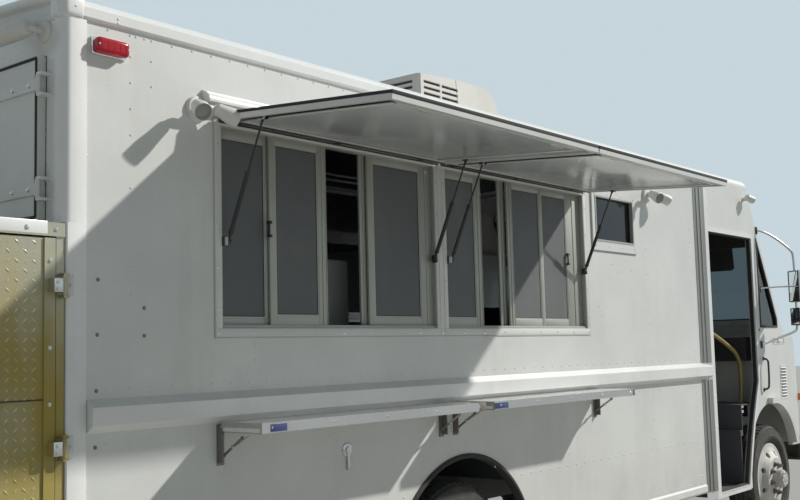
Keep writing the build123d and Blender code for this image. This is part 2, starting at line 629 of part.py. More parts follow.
def make_rear_axle():
    housing = disc(REAR_AXLE_X, (-600, 600), TYRE_RADIUS, 62)
    housing += disc(REAR_AXLE_X, (-TWIN_OUTER_Y + 10, TWIN_OUTER_Y - 10), TYRE_RADIUS, 35.9)
    ball = Pos(REAR_AXLE_X, 0, TYRE_RADIUS) * Sphere(180)
    housing += ball & box((REAR_AXLE_X - 200, REAR_AXLE_X + 200), (-150, 150), (200, 600))
    housing += rod((REAR_AXLE_X, 0, TYRE_RADIUS), (REAR_AXLE_X + PINION_REACH, 0, TYRE_RADIUS), 50)
    for side in (-1, 1):
        housing += leaf_spring(REAR_AXLE_X, side * 437, REAR_LEAF_Z)
    return housing


def pane_frame(x, z, y, bar):
    """A rectangular frame of square bars."""
    return box(x, y, z) - box((x[0] + bar, x[1] - bar), (y[0] - 5, y[1] + 5), (z[0] + bar, z[1] - bar))


def sash_spans(low):
    """The panes of one serving window: rear X, front X and whether its frame is wide."""
    return [(low + 6, low + 300, 14), (low + 300, low + 700, 34), (low + 960, low + 1322, 20)]


def make_window_frames():
    """Outer flange round both serving windows, sliding sashes and the small window's frame."""
    flange_x = (WINDOWS["rear"][0] - 32, WINDOWS["front"][1] + 28)
    flange = box(flange_x, (curb(4), curb(0)), (WINDOW_SILL_Z - 32, WINDOW_HEAD_Z + 24))
    pieces = []
    for low, high in WINDOWS.values():
        hole = box((low, high), (curb(9), curb(-5)), (WINDOW_SILL_Z, WINDOW_HEAD_Z))
        flange -= hole
        sill = box((low, high), (curb(-10), curb(-WALL)), (WINDOW_SILL_Z, WINDOW_SILL_Z + 10))
        for index, (start, end, bar) in enumerate(sash_spans(low)):
            y = (curb(-24), curb(-34)) if index == 1 else (curb(-12), curb(-22))
            frame = pane_frame((start, end), (WINDOW_SILL_Z + 10, WINDOW_HEAD_Z), (min(y), max(y)), bar)
            sill += frame
        pieces.append(sill)
    pieces.append(flange)
    low, high, sill_z, head_z = SMALL_WINDOW
    small = box((low - 40, high + 40), (curb(10), curb(0)), (sill_z - 60, head_z + 30))
    pieces.append(small - box((low, high), (curb(15), curb(-5)), (sill_z, head_z)))
    return pieces


def make_window_glass():
    """Panes of the serving windows, the small window, the quarter windows and the windscreen."""
    panes = []
    for low, high in WINDOWS.values():
        for index, (start, end, bar) in enumerate(sash_spans(low)):
            out = -31 if index == 1 else -19
            z = (WINDOW_SILL_Z + 10 + bar, WINDOW_HEAD_Z - bar)
            panes.append(box((start + bar, end - bar), (curb(out + 2), curb(out - 2)), z))
    low, high, sill_z, head_z = SMALL_WINDOW
    panes.append(box((low, high), (curb(-14), curb(-20)), (sill_z, head_z)))
    for low_y, high_y in ((60, HALF - 90), (-HALF + 90, -60)):
        panes.append(windscreen_block(low_y, high_y, -26, -18))
    panes += both_sides(slab(QUARTER_GLASS, (curb(-18), curb(-24))))
    return panes


def hatch_frame_point(along, up):
    """Y and Z of a point on an open hatch, from its place along and above the hinge line."""
    droop = math.radians(HATCH_DROOP)
    out = HATCH_HINGE_OUT + along * math.cos(droop) + up * math.sin(droop)
    return curb(out), HATCH_HINGE_Z - along * math.sin(droop) + up * math.cos(droop)


def hatch_bar(x, along, up):
    corners = [(along[0], up[0]), (along[1], up[0]), (along[1], up[1]), (along[0], up[1])]
    return across([hatch_frame_point(*corner) for corner in corners], x)


def make_hatch(name):
    """A serving hatch: a skin over a perimeter frame with a centre rib, and the strut brackets."""
    low, high = HATCHES[name]
    up = (-HATCH_DEPTH, 3)
    hatch = hatch_bar((low, high), (2, HATCH_LENGTH), (3, HATCH_SKIN))
    pin = (curb(HATCH_HINGE_OUT), HATCH_HINGE_Z)
    hatch += rod((low + 8, *pin), (high - 8, *pin), BARREL_RADIUS)
    for x in ((low, low + 16), (high - 16, high)):
        hatch += hatch_bar(x, (2, HATCH_LENGTH), up)
    for along in ((2, 20), (HATCH_LENGTH - 24, HATCH_LENGTH)):
        hatch += hatch_bar((low, high), along, up)
    stud_plate = (STRUT_REACH - 15, STRUT_REACH + 15)
    for x, side in zip(strut_rows(name), (-1, 1)):
        hatch += hatch_bar(sorted((x + side * 7.5, x + side * 11.5)), stud_plate, (-32, 4))
    middle = (low + high) / 2
    hatch += hatch_bar((middle - 22, middle + 22), (20, HATCH_LENGTH - 24), (-8, 3))
    for x in hinge_places(name):
        hatch -= hatch_bar((x - 14, x + 14), (-12, 10), (-30, 12))
    return hatch - rod((low, *pin), (high, *pin), PIN_RADIUS + RUNNING)


def hinge_places(name):
    """Where along a hatch its three hinges stand."""
    low, high = HATCHES[name]
    return low + 120, (low + high) / 2, high - 120


def strut_ends():
    """Y and Z of a strut's foot, and of its top pin with the hatch open."""
    return (curb(STRUT_FOOT_OUT), STRUT_FOOT_Z), hatch_frame_point(STRUT_REACH, -STRUT_DROP)


def strut_rows(name):
    low, high = WINDOWS[name]
    return low + STRUT_INSET, high - STRUT_INSET


def along_strut(share):
    foot, top = strut_ends()
    return tuple(a + share * (b - a) for a, b in zip(foot, top))


def make_strut_tubes(name):
    """Cylinder halves of a hatch's two gas struts, each with an eye on its foot pin."""
    tubes = []
    for x in strut_rows(name):
        foot = strut_ends()[0]
        tube = rod((x, *along_strut(0.06)), (x, *along_strut(0.57)), 9)
        tube += rod((x, *foot), (x, *along_strut(0.08)), 5)
        tube += rod((x - 6, *foot), (x + 6, *foot), 10)
        tube -= rod((x, *along_strut(0.1)), (x, *along_strut(0.6)), 4.2)
        tubes.append(tube - rod((x - 10, *foot), (x + 10, *foot), 4.1))
    return tubes


def make_strut_rods(name):
    """Piston rods of a hatch's two gas struts, each ending in a stud at the hatch's frame."""
    rods = []
    low, high = WINDOWS[name]
    for x in strut_rows(name):
        top = strut_ends()[1]
        piston = rod((x, *along_strut(0.5)), (x, *top), 4)
        side = -1 if x < (low + high) / 2 else 1
        stud_x = sorted((x - side * 5, x + side * 7))
        rods.append(piston + rod((stud_x[0], *top), (stud_x[1], *top), 6))
    return rods


def make_hatch_fittings():
    """Hinge lugs over the windows, the drip cap above them, and the struts' foot pins."""
    fittings = []
    foot = strut_ends()[0]
    hinge = (curb(HATCH_HINGE_OUT), HATCH_HINGE_Z)
    z = (STRUT_FOOT_Z - 16, STRUT_FOOT_Z + 16)
    for name in WINDOWS:
        for x, side in zip(strut_rows(name), (-1, 1)):
            arm = box(sorted((x + side * 7, x + side * 12)), (curb(STRUT_FOOT_OUT + 9), curb(-10)), z)
            arm += box(sorted((x + side * 7, x + side * STRUT_INSET)), (curb(-4), curb(-10)), z)
            pin = rod((x - side * 8, *foot), (x + side * 8, *foot), PIN_RADIUS)
            fittings.append(arm + pin)
        for x in hinge_places(name):
            lug = box((x - 12, x + 12), (hinge[0], curb(0)), (hinge[1] - 6, hinge[1] + 6))
            lug += rod((x - 12, *hinge), (x + 12, *hinge), 6)
            fittings.append(lug + rod((x - 60, *hinge), (x + 60, *hinge), PIN_RADIUS))
    cap = [(curb(0), 2404), (curb(46), 2392), (curb(46), 2388), (curb(0), 2396)]
    fittings.append(across(cap, (HATCHES["rear"][0] - 20, HATCHES["front"][1] + 20)))
    return fittings


def make_shelf(name):
    """A serving shelf: a board with a deep front lip, on an arm at each end."""
    low, high = SHELVES[name]
    near, far = curb(SHELF_HINGE_OUT + 4), curb(SHELF_DEPTH)
    hinge = (curb(SHELF_HINGE_OUT), SHELF_HINGE_Z)
    shelf = box((low, high), (far, near), (SHELF_TOP_Z - SHELF_THICK, SHELF_TOP_Z))
    shelf += box((low, high), (far, far + 12), (SHELF_TOP_Z - SHELF_LIP, SHELF_TOP_Z))
    for x in (low + 11, high - 19):
        shelf += box((x, x + 8), (far + 10, hinge[0]), (SHELF_HINGE_Z - 3, SHELF_TOP_Z - 10))
        shelf += rod((x, *hinge), (x + 8, *hinge), 10)
        shelf -= rod((x - 12, *hinge), (x + 20, *hinge), PIN_RADIUS + RUNNING)
    return shelf


def stay_rows(name):
    low, high = SHELVES[name]
    return low + 27, high - 27


def make_shelf_stays(name):
    """Diagonal stays of a shelf, each pinned at its wall bracket's foot."""
    stays = []
    for x in stay_rows(name):
        foot = (x, curb(STAY_FOOT_OUT), STAY_FOOT_Z)
        top = (x, curb(STAY_REACH), STAY_TOP_Z)
        stay = rod(foot, top, 5)
        for end in (foot, top):
            stay += rod((x - 3, *end[1:]), (x + 3, *end[1:]), 7)
        stays.append(stay - rod((x - 5, *foot[1:]), (x + 5, *foot[1:]), 4.1))
    return stays


def make_shelf_brackets():
    """Wall channels that carry the shelves' hinge pins and the stays' foot pins."""
    brackets = []
    hinge = (curb(SHELF_HINGE_OUT), SHELF_HINGE_Z)
    foot = (curb(STAY_FOOT_OUT), STAY_FOOT_Z)
    for name, (low, high) in SHELVES.items():
        for end, side in ((low, 1), (high, -1)):
            web = box(sorted((end + side * 2, end + side * 36)), (curb(4), curb(0)), (1040, 1190))
            cheek_x = sorted((end + side * 5, end + side * 9))
            cheek = box(cheek_x, (curb(SHELF_HINGE_OUT + 3), curb(2)), (1050, 1175))
            pin = rod((end + side * 7, *hinge), (end + side * 22, *hinge), PIN_RADIUS)
            stay_pin = rod((end + side * 7, *foot), (end + side * 32, *foot), PIN_RADIUS)
            brackets.append(web + cheek + pin + stay_pin)
    return brackets


def make_gas_box():
    """Rear box for the generator and gas bottles, open on the curb side behind its door."""
    shell = box((-BOX_DEPTH, 0), (-HALF, HALF), (BOX_FLOOR_Z, BOX_TOP_Z))
    shell -= box((-BOX_DEPTH + 30, -31), (-HALF - 5, HALF - 30), (BOX_FLOOR_Z + 30, BOX_TOP_Z - 45))
    shell += box((-BOX_DEPTH, -2), (curb(6), curb(0)), (BOX_TOP_Z - 45, BOX_TOP_Z))
    hinge = (BOX_HINGE_X, curb(BOX_HINGE_OUT))
    for z in BOX_HINGE_Z:
        shell += rod((*hinge, z - 40), (*hinge, z + 40), PIN_RADIUS)
        for lug_z in ((z - 40, z - 30.3), (z + 30.3, z + 40)):
            shell += box((BOX_HINGE_X - 5, -2), (curb(BOX_HINGE_OUT + 4), curb(0)), lug_z)
    return shell


def barrel(place, z, radius):
    """A hinge barrel round an upright pin."""
    return rod((*place, z - 30), (*place, z + 30), radius)


def make_gas_box_door():
    """Framed door that lies flush in the rear box's side, hinged beside the body's corner."""
    hinge = (BOX_HINGE_X, curb(BOX_HINGE_OUT))
    z = (BOX_FLOOR_Z + 36, BOX_TOP_Z - 51)
    door = box((-BOX_DEPTH + 38, -37), (curb(0), curb(-20)), z)
    for x in ((-BOX_DEPTH + 38, -BOX_DEPTH + 78), (-77, -37)):
        door += box(x, (curb(6), curb(0)), z)
    for barrel_z in BOX_HINGE_Z:
        door += barrel(hinge, barrel_z, BARREL_RADIUS)
        door += box((-62, BOX_HINGE_X), (curb(BOX_HINGE_OUT + 6), curb(6)), (barrel_z - 22, barrel_z + 22))
    for barrel_z in BOX_HINGE_Z:
        door -= barrel(hinge, barrel_z, PIN_RADIUS + RUNNING)
    return door


def make_rear_door(side):
    """One of the pair of rear doors, on two strap hinges."""
    door = box((-30, -SEAT_GAP), (-DOOR_POST_Y + 4, -3), (REAR_SILL_Z + 4, REAR_HEAD_Z - 4))
    for z in REAR_HINGE_Z:
        door += barrel(REAR_HINGE, z, BARREL_RADIUS)
        door += box((-38, -30), (REAR_HINGE[1], REAR_HINGE[1] + 420), (z - 20, z + 20))
    for z in REAR_HINGE_Z:
        door -= barrel(REAR_HINGE, z, PIN_RADIUS + RUNNING)
    return door if side == "right" else mirrored(door)


def make_door_tracks():
    """Overhead runners of the two sliding cab doors."""
    x = (DOOR_STORED_X - 10, DOOR_FRONT_X + 60)
    return both_sides(box(x, (curb(-WALL), curb(-WALL - 46)), (TRACK_Z + SEAT_GAP, TRACK_Z + 30)))


def make_cab_door(side):
    """A sliding cab door with its window, which runs inside the wall and clears the wheel box."""
    y = (curb(-WALL - 10), curb(-WALL - 42))
    start = DOOR_STORED_X if side == "right" else DOOR_STORED_X + CAB_DOOR_TRAVEL
    end = start + CAB_DOOR_WIDTH
    low_end = end - (DOOR_REAR_X - 12 + CAB_DOOR_WIDTH - DOOR_LOW_FRONT_X) - 20
    door = box((start, end), y, (DOOR_SILL_Z + 10, TRACK_Z))
    door -= box((low_end, end + 5), (y[0] - 5, y[1] + 5), (DOOR_SILL_Z, 1000))
    x = (start + 90, end - 90)
    for z, back in (((1440, 2120), 12), ((DOOR_SILL_Z + 90, 1300), 20)):
        right = x[1] if z[0] > 1000 else low_end - 90
        door -= box((x[0], right), (y[0] - 5, y[1] + 5), z)
        door += box((x[0], right), (y[0] + back, y[0] + back + 5), z)
    return door if side == "right" else mirrored(door)


def make_ac_unit():
    """Roof cooler: a slotted rear housing, a seam, and a shroud that rounds down to the front."""
    rear, seam, nose = COOLER_X
    low_top, top = COOLER_TOP_Z
    radius = COOLER_NOSE_RADIUS
    foot_z = ROOF_EDGE_Z + ROOF_RADIUS
    lean = math.radians(20)
    arc_end = (nose + radius * (math.cos(lean) - 1), top + radius * (math.sin(lean) - 1))
    outline = [Line((rear, foot_z), (rear, low_top)), Line((rear, low_top), (seam - 30, top)),
               Line((seam - 30, top), (nose - radius, top)), RadiusArc((nose - radius, top), arc_end, radius),
               Line(arc_end, (nose, foot_z)), Line((nose, foot_z), (rear, foot_z))]
    unit = extrude(side_plane(COOLER_HALF) * make_face(outline), amount=2 * COOLER_HALF)
    unit = chamfer(unit.edges().filter_by(Axis.Z), 18)
    for low in range(2790, low_top - 20, 36):
        for x in COOLER_COLUMNS:
            slot = box(x, (-COOLER_HALF - 5, -COOLER_HALF + 14), (low, low + 18))
            unit = unit - slot - mirrored(slot)
        for y in ((-330, -10), (10, 330)):
            unit -= box((rear - 5, rear + 14), y, (low, low + 18))
    seam_line = [(seam, foot_z), (seam + 8, foot_z), (seam - 27, top + 5), (seam - 35, top + 5)]
    groove = slab(seam_line, (-500, -COOLER_HALF + 6))
    unit = unit - groove - mirrored(groove)
    return unit - roof_solid((rear - 25, nose + 25))


def make_floodlights():
    """Twin floodlights on the curb side and the light over the rear doors."""
    lights = []
    for x, z in FLOODLIGHTS:
        lamp = rod((x, curb(0), z), (x, curb(30), z), 50)
        for lamp_x in (x - 46, x + 46):
            lamp += rod((lamp_x, curb(60), z), (lamp_x, curb(150), z - 30), 34)
        lights.append(lamp + box((x - 56, x + 56), (curb(70), curb(28)), (z - 8, z + 8)))
    y, z = REAR_FLOODLIGHT
    lights.append(rod((-95, y, z), (-SEAT_GAP, y, z), 45))
    return lights


def make_marker_lamps():
    """Red marker lamps high on both sides, and the tail lamps behind the rear box."""
    side = box(MARKER_X, (curb(34), curb(0)), MARKER_Z)
    side = chamfer(side.faces().sort_by(Axis.Y)[0].edges(), 8)
    tail = box((-BOX_DEPTH - 34, -BOX_DEPTH), (-TAIL_LAMP_Y - 60, -TAIL_LAMP_Y + 60), TAIL_LAMP_Z)
    tail = fillet(tail.edges().filter_by(Axis.X), 20)
    return both_sides(side) + both_sides(tail)


def make_mirrors():
    """West coast mirrors on tube arms, one each side."""
    arm_x, arm_out = BODY_LENGTH + 1285, 190
    upper = (arm_x - 250, curb(6), 2300)
    knee = (arm_x, curb(arm_out), 2133)
    low_knee = (arm_x, curb(arm_out), 1516)
    lower = (arm_x - 270, curb(6), 1420)
    arm = rod(upper, knee, 9) + rod(knee, low_knee, 9) + rod(low_knee, lower, 9)
    arm += Pos(*knee) * Sphere(9) + Pos(*low_knee) * Sphere(9)
    for x, y, z in (upper, lower):
        arm += box((x - 20, x + 20), (y - 4, curb(0)), (z - 26, z + 26))
    arm -= box((arm_x - 350, arm_x - 50), (curb(0), curb(-30)), (1300, 2400))
    head = box((arm_x - 22, arm_x + 22), (curb(MIRROR_OUT), curb(MIRROR_OUT - 190)), (1740, 1990))
    convex = box((arm_x - 18, arm_x + 18), (curb(MIRROR_OUT - 20), curb(MIRROR_OUT - 170)), (1560, 1700))
    head = fillet(head.edges().filter_by(Axis.X), 30)
    convex = fillet(convex.edges().filter_by(Axis.X), 30)
    return both_sides(arm + head + convex)


def make_grille():
    """Horizontal bars in the nose's opening."""
    frame = box((NOSE_X - 40, NOSE_X + 6), (-720, 720), (820, 1180))
    frame -= box((NOSE_X - 50, NOSE_X + 10), (-690, 690), (848, 1152))
    for step in range(7):
        z = 872 + 40 * step
        frame += box((NOSE_X - 30, NOSE_X), (-700, 700), (z, z + 16))
    return frame


def make_headlamps():
    ends = (NOSE_X - 28, NOSE_X + 16)
    return [rod((ends[0], y, HEADLAMP_Z), (ends[1], y, HEADLAMP_Z), HEADLAMP_RADIUS) for y in HEADLAMP_Y]


def make_front_bumper():
    """Channel bumper on two brackets from the frame rails."""
    bar = box((NOSE_X + 35, BUMPER_X), (-HALF + 40, HALF - 40), (470, 665))
    bar = fillet(bar.edges().filter_by(Axis.Y).group_by(Axis.X)[-1], 30)
    bar -= box((NOSE_X + 20, BUMPER_X - 12), (-HALF + 70, HALF - 70), (488, 647))
    bracket = box((FRAME_X[1], BUMPER_X - 10), FRAME_Y, (FRAME_LOW_Z, 612))
    return bar + bracket + mirrored(bracket)


def make_rear_bumper():
    """Step bumper behind the rear box, on two bars that also carry the box."""
    bumper = box((REAR_BUMPER_X, -BOX_DEPTH - 12), (-HALF + 70, HALF - 70), (440, 470))
    bar = box((REAR_BUMPER_X + 20, 300), FRAME_Y, (396, SKIRT_Z))
    bar += box((REAR_BUMPER_X + 20, -BOX_DEPTH - 20), FRAME_Y, (430, 450))
    bar += box((-BOX_DEPTH, -20), FRAME_Y, (430, BOX_FLOOR_Z))
    bar += box((90, 300), FRAME_Y, (430, FRAME_LOW_Z))
    bumper = fillet(bumper.edges().filter_by(Axis.Z), 28)
    return bumper + bar + mirrored(bar)


def make_counter():
    """Work counter on an open cabinet, and the hood over it, along the driver's side."""
    y = (HALF - WALL - 700, HALF - WALL)
    counter = box((1000, 4000), y, (1660, 1700))
    cabinet = box((1000, 4000), (y[0] + 60, y[1]), (960, 1660))
    cabinet -= box((1030, 3970), (y[0], y[1] - 20), (990, 1640))
    hood_front = y[0] + 40
    outline = [(hood_front, 2150), (hood_front, 2230), (hood_front + 180, 2520), (y[1], 2520), (y[1], 2150)]
    hollow = [(hood_front + 20, 2100), (hood_front + 20, 2225), (hood_front + 190, 2500), (y[1] - 20, 2500),
              (y[1] - 20, 2100)]
    hood = across(outline, (1400, 3600)) - across(hollow, (1420, 3580))
    return [counter + cabinet, hood]


def make_seat():
    """Driver's seat on its pedestal."""
    x = BODY_LENGTH + 415
    base = Pos(x, SEAT_Y, FLOOR_Z + 140) * Cylinder(90, 280)
    cushion = box((x - 250, x + 240), (SEAT_Y - 240, SEAT_Y + 240), (1080, 1200))
    cushion = fillet(cushion.edges().filter_by(Axis.Y), 40)
    back = fillet(Box(110, 460, 640).edges().filter_by(Axis.Y), 40)
    return base + cushion + Pos(x - 220, SEAT_Y, 1470) * Rot(0, -10, 0) * back


def make_dashboard():
    """Dashboard, engine cover, steering column and wheel."""
    front = CAB_FLOOR_X - 2
    dash = box((front - 116, front), (-HALF + 90, HALF - 90), (1300, 1480))
    cover = box((ENGINE_X[0] - 35, front), (-340, 340), (FLOOR_Z, 1300))
    cover -= box((ENGINE_X[0] - 20, front + 4), (-325, 325), (700, 1275))
    column = rod((front - 86, SEAT_Y, 1380), (front - 256, SEAT_Y, 1440), 24)
    tilt = Pos(front - 256, SEAT_Y, 1440) * Rot(0, -70, 0)
    wheel = tilt * Torus(210, 14) + tilt * Box(24, 410, 12)
    return dash + cover + column + wheel


def make_fuel_tank():
    """Fuel tank on two brackets from the frame rail."""
    tank = fillet(box(TANK_X, (520, 980), (500, 745)).edges().filter_by(Axis.X), 60)
    for x in (TANK_X[0] + 180, TANK_X[1] - 240):
        tank += box((x, x + 60), (-FRAME_Y[0], 560), (580, 700))
    return tank


NODES = {
    "chassis_frame": make_chassis_frame,
    "floor": make_floor,
    "steps": make_steps,
    "side_wall_right": lambda: make_side_wall(True),
    "side_wall_left": lambda: mirrored(make_side_wall(False)),
    "roof": make_roof,
    "body_rails": make_body_rails,
    "rear_frame": make_rear_frame,
    "cab_shell": make_cab_shell,
    "cab_roof": make_cab_roof,
    "nose": make_nose,
    "hood": make_hood,
    "grille": make_grille,
    "headlamps": make_headlamps,
    "window_frames": make_window_frames,
    "window_glass": make_window_glass,
    "front_bumper": make_front_bumper,
    "rear_bumper": make_rear_bumper,
    "mirrors": make_mirrors,
    "ac_unit": make_ac_unit,
    "floodlights": make_floodlights,
    "marker_lamps": make_marker_lamps,
    "gas_box": make_gas_box,
    "gas_box_door": make_gas_box_door,
    "rear_door_right": lambda: make_rear_door("right"),
    "rear_door_left": lambda: make_rear_door("left"),
    "cab_door_right": lambda: make_cab_door("right"),
    "cab_door_left": lambda: make_cab_door("left"),
    "hatch_fittings": make_hatch_fittings,
    "shelf_brackets": make_shelf_brackets,
    "counter": make_counter,
    "seat": make_seat,
    "dashboard": make_dashboard,
    "door_tracks": make_door_tracks,
    "fuel_tank": make_fuel_tank,
    "engine": make_engine,
    "driveline": make_driveline,
    "axle_front": make_front_axle,
    "axle_rear": make_rear_axle,
    "knuckle_right": make_knuckle,
    "knuckle_left": lambda: mirrored(make_knuckle()),
    "wheel_front_right": make_front_wheel,
    "wheel_front_left": lambda: mirrored(make_front_wheel()),
    "tyre_front_right": make_front_tyre,
    "tyre_front_left": lambda: mirrored(make_front_tyre()),
    "wheels_rear_right": make_rear_wheel,
    "wheels_rear_left": lambda: mirrored(make_rear_wheel()),
    "tyres_rear_right": make_rear_tyres,
    "tyres_rear_left": lambda: [mirrored(item) for item in make_rear_tyres()],
}
for window_name in WINDOWS:
    NODES[f"hatch_{window_name}"] = lambda name=window_name: make_hatch(name)
    NODES[f"strut_tubes_{window_name}"] = lambda name=window_name: make_strut_tubes(name)
    NODES[f"strut_rods_{window_name}"] = lambda name=window_name: make_strut_rods(name)
    NODES[f"shelf_{window_name}"] = lambda name=window_name: make_shelf(name)
    NODES[f"shelf_stays_{window_name}"] = lambda name=window_name: make_shelf_stays(name)


def main():
    os.makedirs("parts", exist_ok=True)
    to_origin = Pos(-MIDDLE_X, -MIDDLE_Y, 0)
    for name, make in NODES.items():
        made = make()
        pieces = made if isinstance(made, list) else [made]
        solids = [to_origin * solid for piece in pieces for solid in piece.solids()]
        shape = solids[0] if len(solids) == 1 else Compound(children=solids)
        export_step(shape, f"parts/{name}.step")
        print(name, len(solids))


if __name__ == "__main__":
    main()
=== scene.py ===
import math

import bmesh
import bpy
from mathutils import Matrix, Vector


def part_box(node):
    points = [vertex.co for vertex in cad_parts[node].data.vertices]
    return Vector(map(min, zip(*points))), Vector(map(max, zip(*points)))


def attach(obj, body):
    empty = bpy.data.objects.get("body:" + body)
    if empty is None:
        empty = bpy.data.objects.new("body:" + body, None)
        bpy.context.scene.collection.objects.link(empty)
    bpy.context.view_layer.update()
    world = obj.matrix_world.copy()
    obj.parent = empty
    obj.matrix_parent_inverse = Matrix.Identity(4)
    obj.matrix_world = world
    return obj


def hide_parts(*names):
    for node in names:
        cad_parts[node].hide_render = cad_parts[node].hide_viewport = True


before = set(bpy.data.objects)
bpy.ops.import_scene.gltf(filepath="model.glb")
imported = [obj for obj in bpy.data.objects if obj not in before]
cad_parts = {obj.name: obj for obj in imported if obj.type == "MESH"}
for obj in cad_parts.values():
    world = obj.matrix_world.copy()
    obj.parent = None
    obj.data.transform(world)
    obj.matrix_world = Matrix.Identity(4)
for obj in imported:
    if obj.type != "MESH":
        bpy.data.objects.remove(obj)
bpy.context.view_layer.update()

# Places are given as (along, across, up) in metres: along runs forward from the body's rear
# corner, across runs to the driver's side from the centre line, up is the height above the ground
roofLow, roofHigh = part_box("roof")
rearX = roofLow.x
middleY = (roofLow.y + roofHigh.y) / 2
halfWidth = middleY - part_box("side_wall_right")[0].y
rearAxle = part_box("wheels_rear_right")
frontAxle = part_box("wheel_front_right")
rearAxleAlong = (rearAxle[0].x + rearAxle[1].x) / 2 - rearX
frontAxleAlong = (frontAxle[0].x + frontAxle[1].x) / 2 - rearX
axleUp = (rearAxle[0].z + rearAxle[1].z) / 2
centrePlane = Matrix.Translation((0, -middleY, 0))


def at(along, across, up):
    return Vector((rearX + along, middleY + across, up))


# Across of a point so far outside the serving side
def curb(out):
    return -halfWidth - out


# Mesh tools
def softenEdges(bm, verts, width, segments=2, sharper=30):
    edges = {edge for vert in verts for edge in vert.link_edges}
    sharp = [edge for edge in edges if len(edge.link_faces) == 2
             and edge.calc_face_angle(0) > math.radians(sharper)]
    bmesh.ops.bevel(bm, geom=sharp, offset=width, offset_type="OFFSET", affect="EDGES",
                    segments=segments, profile=0.5, material=-1, clamp_overlap=True)


def addBlock(bm, low, high, soften=0.002, segments=2):
    ends = at(*low), at(*high)
    corner = Vector([min(pair) for pair in zip(*ends)])
    size = Vector([max(pair) for pair in zip(*ends)]) - corner
    place = Matrix.Translation(corner + size / 2) @ Matrix.Diagonal((*size, 1))
    verts = bmesh.ops.create_cube(bm, size=1, matrix=place)["verts"]
    if soften:
        softenEdges(bm, verts, min(soften, min(size) * 0.45), segments)


def addRod(bm, start, end, radius, endRadius=None, sides=16, soften=0):
    start, end = at(*start), at(*end)
    line = end - start
    place = Matrix.Translation((start + end) / 2) @ line.to_track_quat("Z", "Y").to_matrix().to_4x4()
    verts = bmesh.ops.create_cone(bm, cap_ends=True, segments=sides, radius1=radius,
                                  radius2=radius if endRadius is None else endRadius,
                                  depth=line.length, matrix=place)["verts"]
    if soften:
        softenEdges(bm, verts, soften, sharper=50)


def addBall(bm, place, radius, stretch=(1, 1, 1), sides=16):
    matrix = Matrix.Translation(at(*place)) @ Matrix.Diagonal((*stretch, 1))
    bmesh.ops.create_uvsphere(bm, u_segments=sides, v_segments=sides // 2, radius=radius, matrix=matrix)


# A closed section of (radius, along the axis) points turned about an axis through a place
def addSpun(bm, profile, place, axis, sides=48, turn=2 * math.pi, first=0.0):
    centre, axis = at(*place), Vector(axis).normalized()
    side = Vector((0, 0, 1)) if abs(axis.z) < 0.9 else Vector((1, 0, 0))
    side = Matrix.Rotation(first, 3, axis) @ (side - axis * side.dot(axis)).normalized()
    verts = [bm.verts.new(centre + side * radius + axis * step) for radius, step in profile]
    edges = [bm.edges.new((verts[i - 1], verts[i])) for i in range(len(verts))]
    whole = abs(turn - 2 * math.pi) < 1e-6
    before = set(bm.verts)
    if not whole:
        bm.faces.new(verts)
    made = bmesh.ops.spin(bm, geom=verts + edges, cent=centre, axis=axis, angle=turn,
                          steps=sides, use_merge=whole)
    if not whole:
        lastVerts = [item for item in made["geom_last"] if isinstance(item, bmesh.types.BMVert)]
        bm.faces.new(lastVerts)
    new = [vert for vert in bm.verts if vert not in before] + verts
    bmesh.ops.remove_doubles(bm, verts=new, dist=1e-6)


# A plate from an outline of places, thickened by a vector
def addSlab(bm, outline, push):
    face = bm.faces.new([bm.verts.new(at(*point)) for point in outline])
    made = bmesh.ops.extrude_face_region(bm, geom=[face])["geom"]
    moved = [item for item in made if isinstance(item, bmesh.types.BMVert)]
    bmesh.ops.translate(bm, vec=Vector(push), verts=moved)
    return moved + list(face.verts)


# A flat outline moved outwards in its own plane, with mitred corners
def offsetOutline(points, normal, amount):
    area = sum((a.cross(b) for a, b in zip(points, points[1:] + points[:1])), Vector())
    facing = 1 if area.dot(normal) > 0 else -1
    moved = []
    for i, point in enumerate(points):
        before = (point - points[i - 1]).normalized()
        after = (points[(i + 1) % len(points)] - point).normalized()
        sides = [line.cross(normal) * facing for line in (before, after)]
        middle = (sides[0] + sides[1]).normalized()
        moved.append(point + middle * amount / max(0.35, middle.dot(sides[0])))
    return moved


# A flat frame along an outline: outer and inner edges set off from it, and its depth
def addFrame(bm, outline, outer, inner, low, high):
    points = [at(*point) for point in outline]
    normal = (points[1] - points[0]).cross(points[2] - points[1]).normalized()
    if normal.y > 0.1 or (abs(normal.y) <= 0.1 and normal.x < 0):
        normal.negate()                              # depth grows outwards, to the curb or the front
    rings = []
    for amount, depth in ((outer, low), (outer, high), (inner, high), (inner, low)):
        ring = offsetOutline(points, normal, amount)
        rings.append([bm.verts.new(point + normal * depth) for point in ring])
    for ring, after in zip(rings, rings[1:] + rings[:1]):
        for i in range(len(ring)):
            bm.faces.new((ring[i - 1], ring[i], after[i], after[i - 1]))


# A bent tube through places, on a smooth curve
def addTube(bm, points, radius):
    curve = bpy.data.curves.new("bend", "CURVE")
    curve.dimensions = "3D"
    curve.bevel_depth = radius
    curve.bevel_resolution = 6
    curve.resolution_u = 8
    curve.use_fill_caps = True
    spline = curve.splines.new("NURBS")
    spline.points.add(len(points) - 1)
    for target, point in zip(spline.points, points):
        target.co = (*at(*point), 1)
    spline.use_endpoint_u = True
    spline.order_u = 3
    holder = bpy.data.objects.new("bend", curve)
    bpy.context.scene.collection.objects.link(holder)
    bpy.context.view_layer.update()
    mesh = bpy.data.meshes.new_from_object(holder.evaluated_get(bpy.context.evaluated_depsgraph_get()))
    bm.from_mesh(mesh)
    bpy.data.objects.remove(holder)
    bpy.data.meshes.remove(mesh)


